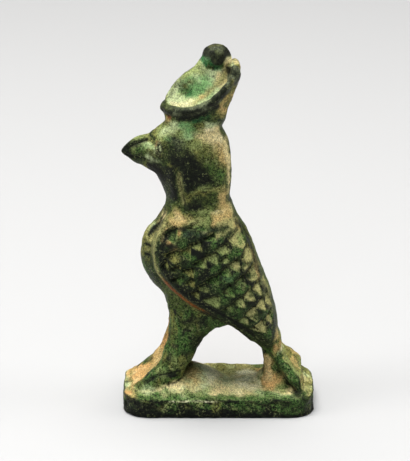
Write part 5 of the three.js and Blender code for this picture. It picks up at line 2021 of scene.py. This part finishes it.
@dataclass(frozen=True)
class Patina:
    """Material that shows the coats, with grain, pits and uneven gloss finer than the mesh.

    A pair of strengths gives what a coat of full grain adds, and what every coat has. A band gives the
    noise at which something starts, and at which it is full.

    Attributes:
        lump: Size of the larger grain, in metres.
        dust: Size of the finest grain.
        pit: Size of the noise that sets the black pits.
        fleck: Size of the noise that sets the pale flecks.
        drift: Size of the noise that gathers them.
        lump_swing: Strengths with which the larger grain swings the shade.
        dust_swing: The same for the finest grain.
        pit_dark: Strengths of the pits.
        bump: Strengths with which the grain bends the light.
        swing_band: Band of the noise that swings the shade.
        pit_band: Band of the pits.
        fleck_band: Band of the flecks.
        drift_band: Band of what gathers them.
        darkest: Least share of the colour that is left.
        lichen: Colour of the pale flecks.
        lichen_full: How full they are at most.
        gloss_swing: How far the larger grain swings the roughness.
        heights: Share of the larger and of the finest grain in the bump.
        depth: Depth of the grain.
        shine: Reflection level of the shader.
    """

    lump: float = 0.38 * MM
    dust: float = 0.19 * MM
    pit: float = 0.55 * MM
    fleck: float = 0.36 * MM
    drift: float = 1.8 * MM
    lump_swing: tuple[float, float] = (1.1, 0.08)
    dust_swing: tuple[float, float] = (0.4, 0.22)
    pit_dark: tuple[float, float] = (1.2, 0.05)
    bump: tuple[float, float] = (0.7, 0.3)
    swing_band: tuple[float, float] = (0.34, 0.66)
    pit_band: tuple[float, float] = (0.34, 0.27)
    fleck_band: tuple[float, float] = (0.55, 0.66)
    drift_band: tuple[float, float] = (0.38, 0.6)
    darkest: float = 0.08
    lichen: tuple[float, float, float, float] = (0.262, 0.296, 0.119, 1.0)
    lichen_full: float = 0.9
    gloss_swing: float = 0.5
    heights: tuple[float, float] = (0.7, 0.4)
    depth: float = 0.3 * MM
    shine: float = 0.11

    def material(self) -> bpy.types.Material:
        """Build the material."""
        material = bpy.data.materials.new("old_bronze_patina")
        material.use_nodes = True
        tree = material.node_tree
        tree.nodes.clear()
        n = NodeTree(tree)
        place = n.add("ShaderNodeTexCoord").outputs["Object"]

        def cloud(size: float, detail: float) -> bpy.types.NodeSocket:
            """Return noise with lumps of a size."""
            kind = {"noise_dimensions": "3D"}
            inputs = {"Vector": place, "Scale": 1.0 / size, "Detail": detail, "Roughness": 0.7}
            return n.add("ShaderNodeTexNoise", kind, **inputs).outputs["Fac"]

        def painted(name: str, output: str) -> bpy.types.NodeSocket:
            """Return what is painted on the skin under a name."""
            return n.add("ShaderNodeAttribute", {"attribute_name": name}).outputs[output]

        tint = painted(TINT, "Color")
        rough, grain = painted(Layer.ROUGH.value, "Fac"), painted(Layer.GRAIN.value, "Fac")
        lumps, dust = cloud(self.lump, 4.0), cloud(self.dust, 3.0)

        def strength(pair: tuple[float, float], clamp: bool = False) -> bpy.types.NodeSocket:
            """Return a strength that grows with the coat's grain."""
            return n.math("MULTIPLY_ADD", grain, *pair, clamp=clamp)

        def swing(value: bpy.types.NodeSocket, reach: object, base: object) -> bpy.types.NodeSocket:
            """Return the base with noise added on both sides of it."""
            both = n.math("MULTIPLY_ADD", n.rise(value, *self.swing_band), 2.0, -1.0)
            return n.math("MULTIPLY_ADD", both, reach, base)

        shade = swing(lumps, strength(self.lump_swing), 1.0)
        shade = swing(dust, strength(self.dust_swing), shade)
        pits = n.rise(cloud(self.pit, 1.0), *self.pit_band)
        pits = n.math("MULTIPLY", pits, strength(self.pit_dark, clamp=True))
        shade = n.math("MULTIPLY", shade, n.math("SUBTRACT", 1.0, pits))
        toned = n.scaled(tint, n.math("MAXIMUM", shade, self.darkest))
        flecks = n.math("MULTIPLY", n.rise(cloud(self.fleck, 2.0), *self.fleck_band), grain)
        flecks = n.math("MULTIPLY", flecks, n.rise(cloud(self.drift, 1.0), *self.drift_band))
        flecks = n.math("MULTIPLY", flecks, self.lichen_full, clamp=True)
        dry = n.add("ShaderNodeMix", {"data_type": "RGBA"}, i0=flecks, i6=toned, i7=self.lichen)
        uneven = n.math("SUBTRACT", lumps, 0.5)
        gloss = n.math("MULTIPLY_ADD", uneven, self.gloss_swing, rough, clamp=True)
        parts = (n.math("MULTIPLY", part, share) for part, share in zip((lumps, dust), self.heights))
        height = n.math("ADD", *parts)
        bump = n.add("ShaderNodeBump", Height=height, Strength=strength(self.bump), Distance=self.depth)
        inputs = {"Base_Color": dry.outputs[2], "Roughness": gloss, "Normal": bump.outputs[0]}
        shader = n.add("ShaderNodeBsdfPrincipled", **inputs)
        shader.inputs["Specular IOR Level"].default_value = self.shine
        n.add("ShaderNodeOutputMaterial", Surface=shader.outputs[0])
        return material


@dataclass(frozen=True)
class Falcon:
    """The whole casting."""

    voxel: float = 0.222
    soften_steps: int = 3
    fill_steps: int = 16
    edge_share: float = 0.2
    scale_steps: int = 3
    scale_wear: float = 0.1
    scale_edge_wear: float = 0.6
    hollow_reach: int = 12
    edge_reach: int = 6
    crease_shade_reach: int = 3
    roughness: tuple[Lumps, ...] = (Lumps(0.08, 2.4, 1), Lumps(0.06, 0.95, 2), Lumps(0.03, 0.5, 13))
    limits: tuple[tuple[float, ...], ...] = ((-7.69, -15.49, 0.0), (7.69, 15.49, 59.94))
    plinth: Plinth = Plinth()
    torso: Torso = Torso()
    legs: Legs = Legs()
    wings: Wings = Wings()
    head: Head = Head()
    crown: Crown = Crown()
    tail: Tail = Tail()
    cutter: FeatherCutter = FeatherCutter()
    patina: Patina = Patina()

    def parts(self) -> tuple[Part, ...]:
        """Return the sub-assemblies from the ground up."""
        return (self.plinth, self.tail, self.legs, self.torso, self.wings, self.head, self.crown)

    def wear(self, skin: Skin) -> None:
        """Soften the fused skin: the joins fill in and the edges wear down."""
        skin.soften(self.soften_steps)
        low = ease(9.0, 6.5, skin.points[:, Z])
        above = ease(48.5, 50.0, skin.points[:, Z])
        hollow_share = np.clip(0.75 + 0.25 * low, 0.0, 1.0) * (1.0 - 0.35 * above)
        skin.fill(self.fill_steps, hollow_share, np.full(len(skin.points), self.edge_share))

    def dress(self, skin: Skin) -> None:
        """Lay every coat: the grounds, earth in the hollows, the spots, the lines, worn edges, and
        painted shade in the fine creases.
        """
        p = skin.points
        skin.coats = np.tile(Coat.MOSS.value.row(), (len(p), 1))
        skin.paint(Coat.DEEP, ease(-0.3, 0.4, noise(p, 3.6, 30)))
        for part in self.parts():
            part.ground(skin)
        hollow = skin.blurred(skin.bend(self.hollow_reach)[:, None], 2)[:, 0]
        skin.paint(Coat.EARTH, 0.45 * ease(0.02, 0.12, hollow))
        stirred = skin.stirred()
        for part in self.parts():
            part.lay_spots(skin, stirred)
        for part in self.parts():
            part.line(skin)
        skin.paint(Coat.METAL, 0.6 * ease(-0.02, -0.08, skin.bend(self.edge_reach)))
        # Painted shade: black in the fine creases, where shade would fall.
        skin.paint(Coat.BLACK_AND_SHADE, 0.8 * ease(0.012, 0.05, skin.bend(self.crease_shade_reach)))

    def finish(self, mesh: bpy.types.Mesh, feathers: np.ndarray) -> None:
        """Wear the edges of the cut scales, and put every coat on the carved mesh.

        Args:
            mesh: The carved mesh, in metres.
            feathers: Where the feathers lie on it.
        """
        skin = Skin(mesh)
        skin.points = skin.points / MM
        skin.refresh()
        pit = np.empty(len(skin.points))
        mesh.attributes[Layer.PIT.value].data.foreach_get("value", pit)
        skin.layers = {Layer.FEATHERS: feathers, Layer.PIT: pit}
        edges = self.scale_wear + self.scale_edge_wear * feathers
        skin.fill(self.scale_steps, self.scale_wear * feathers, edges)
        self.dress(skin)
        skin.layers[Layer.ROUGH] = skin.coats[:, ROUGH_COLUMN]
        skin.layers[Layer.GRAIN] = skin.coats[:, GRAIN_COLUMN]
        skin.write(tuple(Layer))
        tint = np.column_stack([linear(skin.coats[:, :ROUGH_COLUMN]), np.ones(len(skin.points))])
        attribute = mesh.attributes.new(TINT, "FLOAT_COLOR", "POINT")
        attribute.data.foreach_set("color", tint.ravel())
        mesh.name = PIECE
        mesh.polygons.foreach_set("use_smooth", np.ones(len(mesh.polygons), dtype=bool))

    def build(self) -> bpy.types.Object:
        """Build the casting.

        Returns:
            Its object, in metres, with every layer and its finish.
        """
        skin = fused([shell for part in self.parts() for shell in part.shells()], self.voxel)
        LOG.info("fused skin: %d points", len(skin.points))
        self.wear(skin)
        skin.raise_by(relief(self.parts() + self.roughness, skin))
        feathers = self.wings.where(skin)
        skin.layers[Layer.FEATHERS] = feathers
        skin.points = np.clip(skin.points, *self.limits)
        skin.write((Layer.FEATHERS,))
        body = placed(PIECE, skin.mesh)
        body.data = self.cutter.cut(body, self.wings, self.patina.material())
        bpy.data.meshes.remove(skin.mesh)
        self.finish(body.data, feathers)
        return body


@dataclass(frozen=True)
class Lamp:
    """One soft square light that faces the figure.

    Attributes:
        name: Its name.
        place: Where it hangs, in metres.
        size: Length of its side.
        watts: Its power.
        tint: Its colour.
    """

    name: str
    place: tuple[float, float, float]
    size: float
    watts: float
    tint: tuple[float, float, float]


@dataclass(frozen=True)
class Studio:
    """Pale floor, soft light and the camera, which looks from the bird's left side."""

    elevation: float = math.radians(20.0)
    distance: float = 0.400
    lens: float = 197.0
    sensor: float = 36.0
    nearest: float = 0.01
    farthest: float = 20.0
    target: tuple[float, float, float] = (0.0, -0.0022, 0.0292)
    floor_reach: float = 3.0
    floor_tone: tuple[float, float, float, float] = (0.48, 0.48, 0.485, 1.0)
    floor_rough: float = 0.6
    sky_tone: tuple[float, float, float, float] = (0.90, 0.95, 1.0, 1.0)
    sky_strength: float = 0.12
    lamps: tuple[Lamp, ...] = (
        Lamp("top_light", (-0.02, -0.06, 0.62), 0.50, 7.1, (1.0, 0.985, 0.955)),
        Lamp("left_light", (0.10, -0.45, 0.26), 0.22, 1.0, (1.0, 0.98, 0.96)),
        Lamp("right_light", (0.02, 0.50, 0.28), 0.24, 1.0, (1.0, 0.98, 0.96)),
        Lamp("near_light", (0.55, -0.10, 0.50), 0.24, 1.08, (0.78, 0.91, 1.0)),
    )

    def camera(self) -> None:
        """Place the camera."""
        data = bpy.data.cameras.new("camera")
        data.lens = self.lens
        data.sensor_width = self.sensor
        data.clip_start = self.nearest
        data.clip_end = self.farthest
        camera = placed("camera", data)
        x, y, z = self.target
        out = self.distance * math.cos(self.elevation)
        rise = self.distance * math.sin(self.elevation)
        camera.location = (x + out, y, z + rise)
        camera.rotation_euler = (math.pi / 2 - self.elevation, 0.0, math.pi / 2)
        bpy.context.scene.camera = camera

    def floor(self) -> None:
        """Lay the pale floor."""
        corners = self.floor_reach * np.array([(-1, -1, 0), (1, -1, 0), (1, 1, 0), (-1, 1, 0)])
        mesh = plain_mesh("floor", corners, [(0, 1, 2, 3)])
        floor = placed("floor", mesh)
        material = bpy.data.materials.new("pale_floor")
        material.use_nodes = True
        shader = material.node_tree.nodes["Principled BSDF"]
        shader.inputs["Base Color"].default_value = self.floor_tone
        shader.inputs["Roughness"].default_value = self.floor_rough
        mesh.materials.append(material)

    def hang(self, lamp: Lamp) -> None:
        """Hang one light so that it faces the target."""
        data = bpy.data.lights.new(lamp.name, "AREA")
        data.size = lamp.size
        data.energy = lamp.watts
        data.color = lamp.tint
        light = placed(lamp.name, data)
        light.location = lamp.place
        x, y, z = np.array(lamp.place) - np.array(self.target)
        tilt = math.acos(z / math.hypot(x, y, z))
        light.rotation_euler = (tilt, 0.0, math.atan2(y, x) + math.pi / 2)

    def light(self) -> None:
        """Light the figure softly from above and from every side."""
        world = bpy.data.worlds.new("studio")
        world.use_nodes = True
        background = world.node_tree.nodes["Background"]
        background.inputs["Color"].default_value = self.sky_tone
        background.inputs["Strength"].default_value = self.sky_strength
        bpy.context.scene.world = world
        for lamp in self.lamps:
            self.hang(lamp)
        bpy.context.scene.view_settings.view_transform = "Standard"

    def build(self) -> None:
        """Build the studio."""
        self.camera()
        self.floor()
        self.light()


def main() -> None:
    logging.basicConfig(level=logging.INFO, format="%(message)s")
    Studio().build()
    casting = Falcon().build()
    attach(casting, "root")
    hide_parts(CAD_NODE)
    LOG.info("%s: %d faces", PIECE, len(casting.data.polygons))


if __name__ == "__main__":
    main()
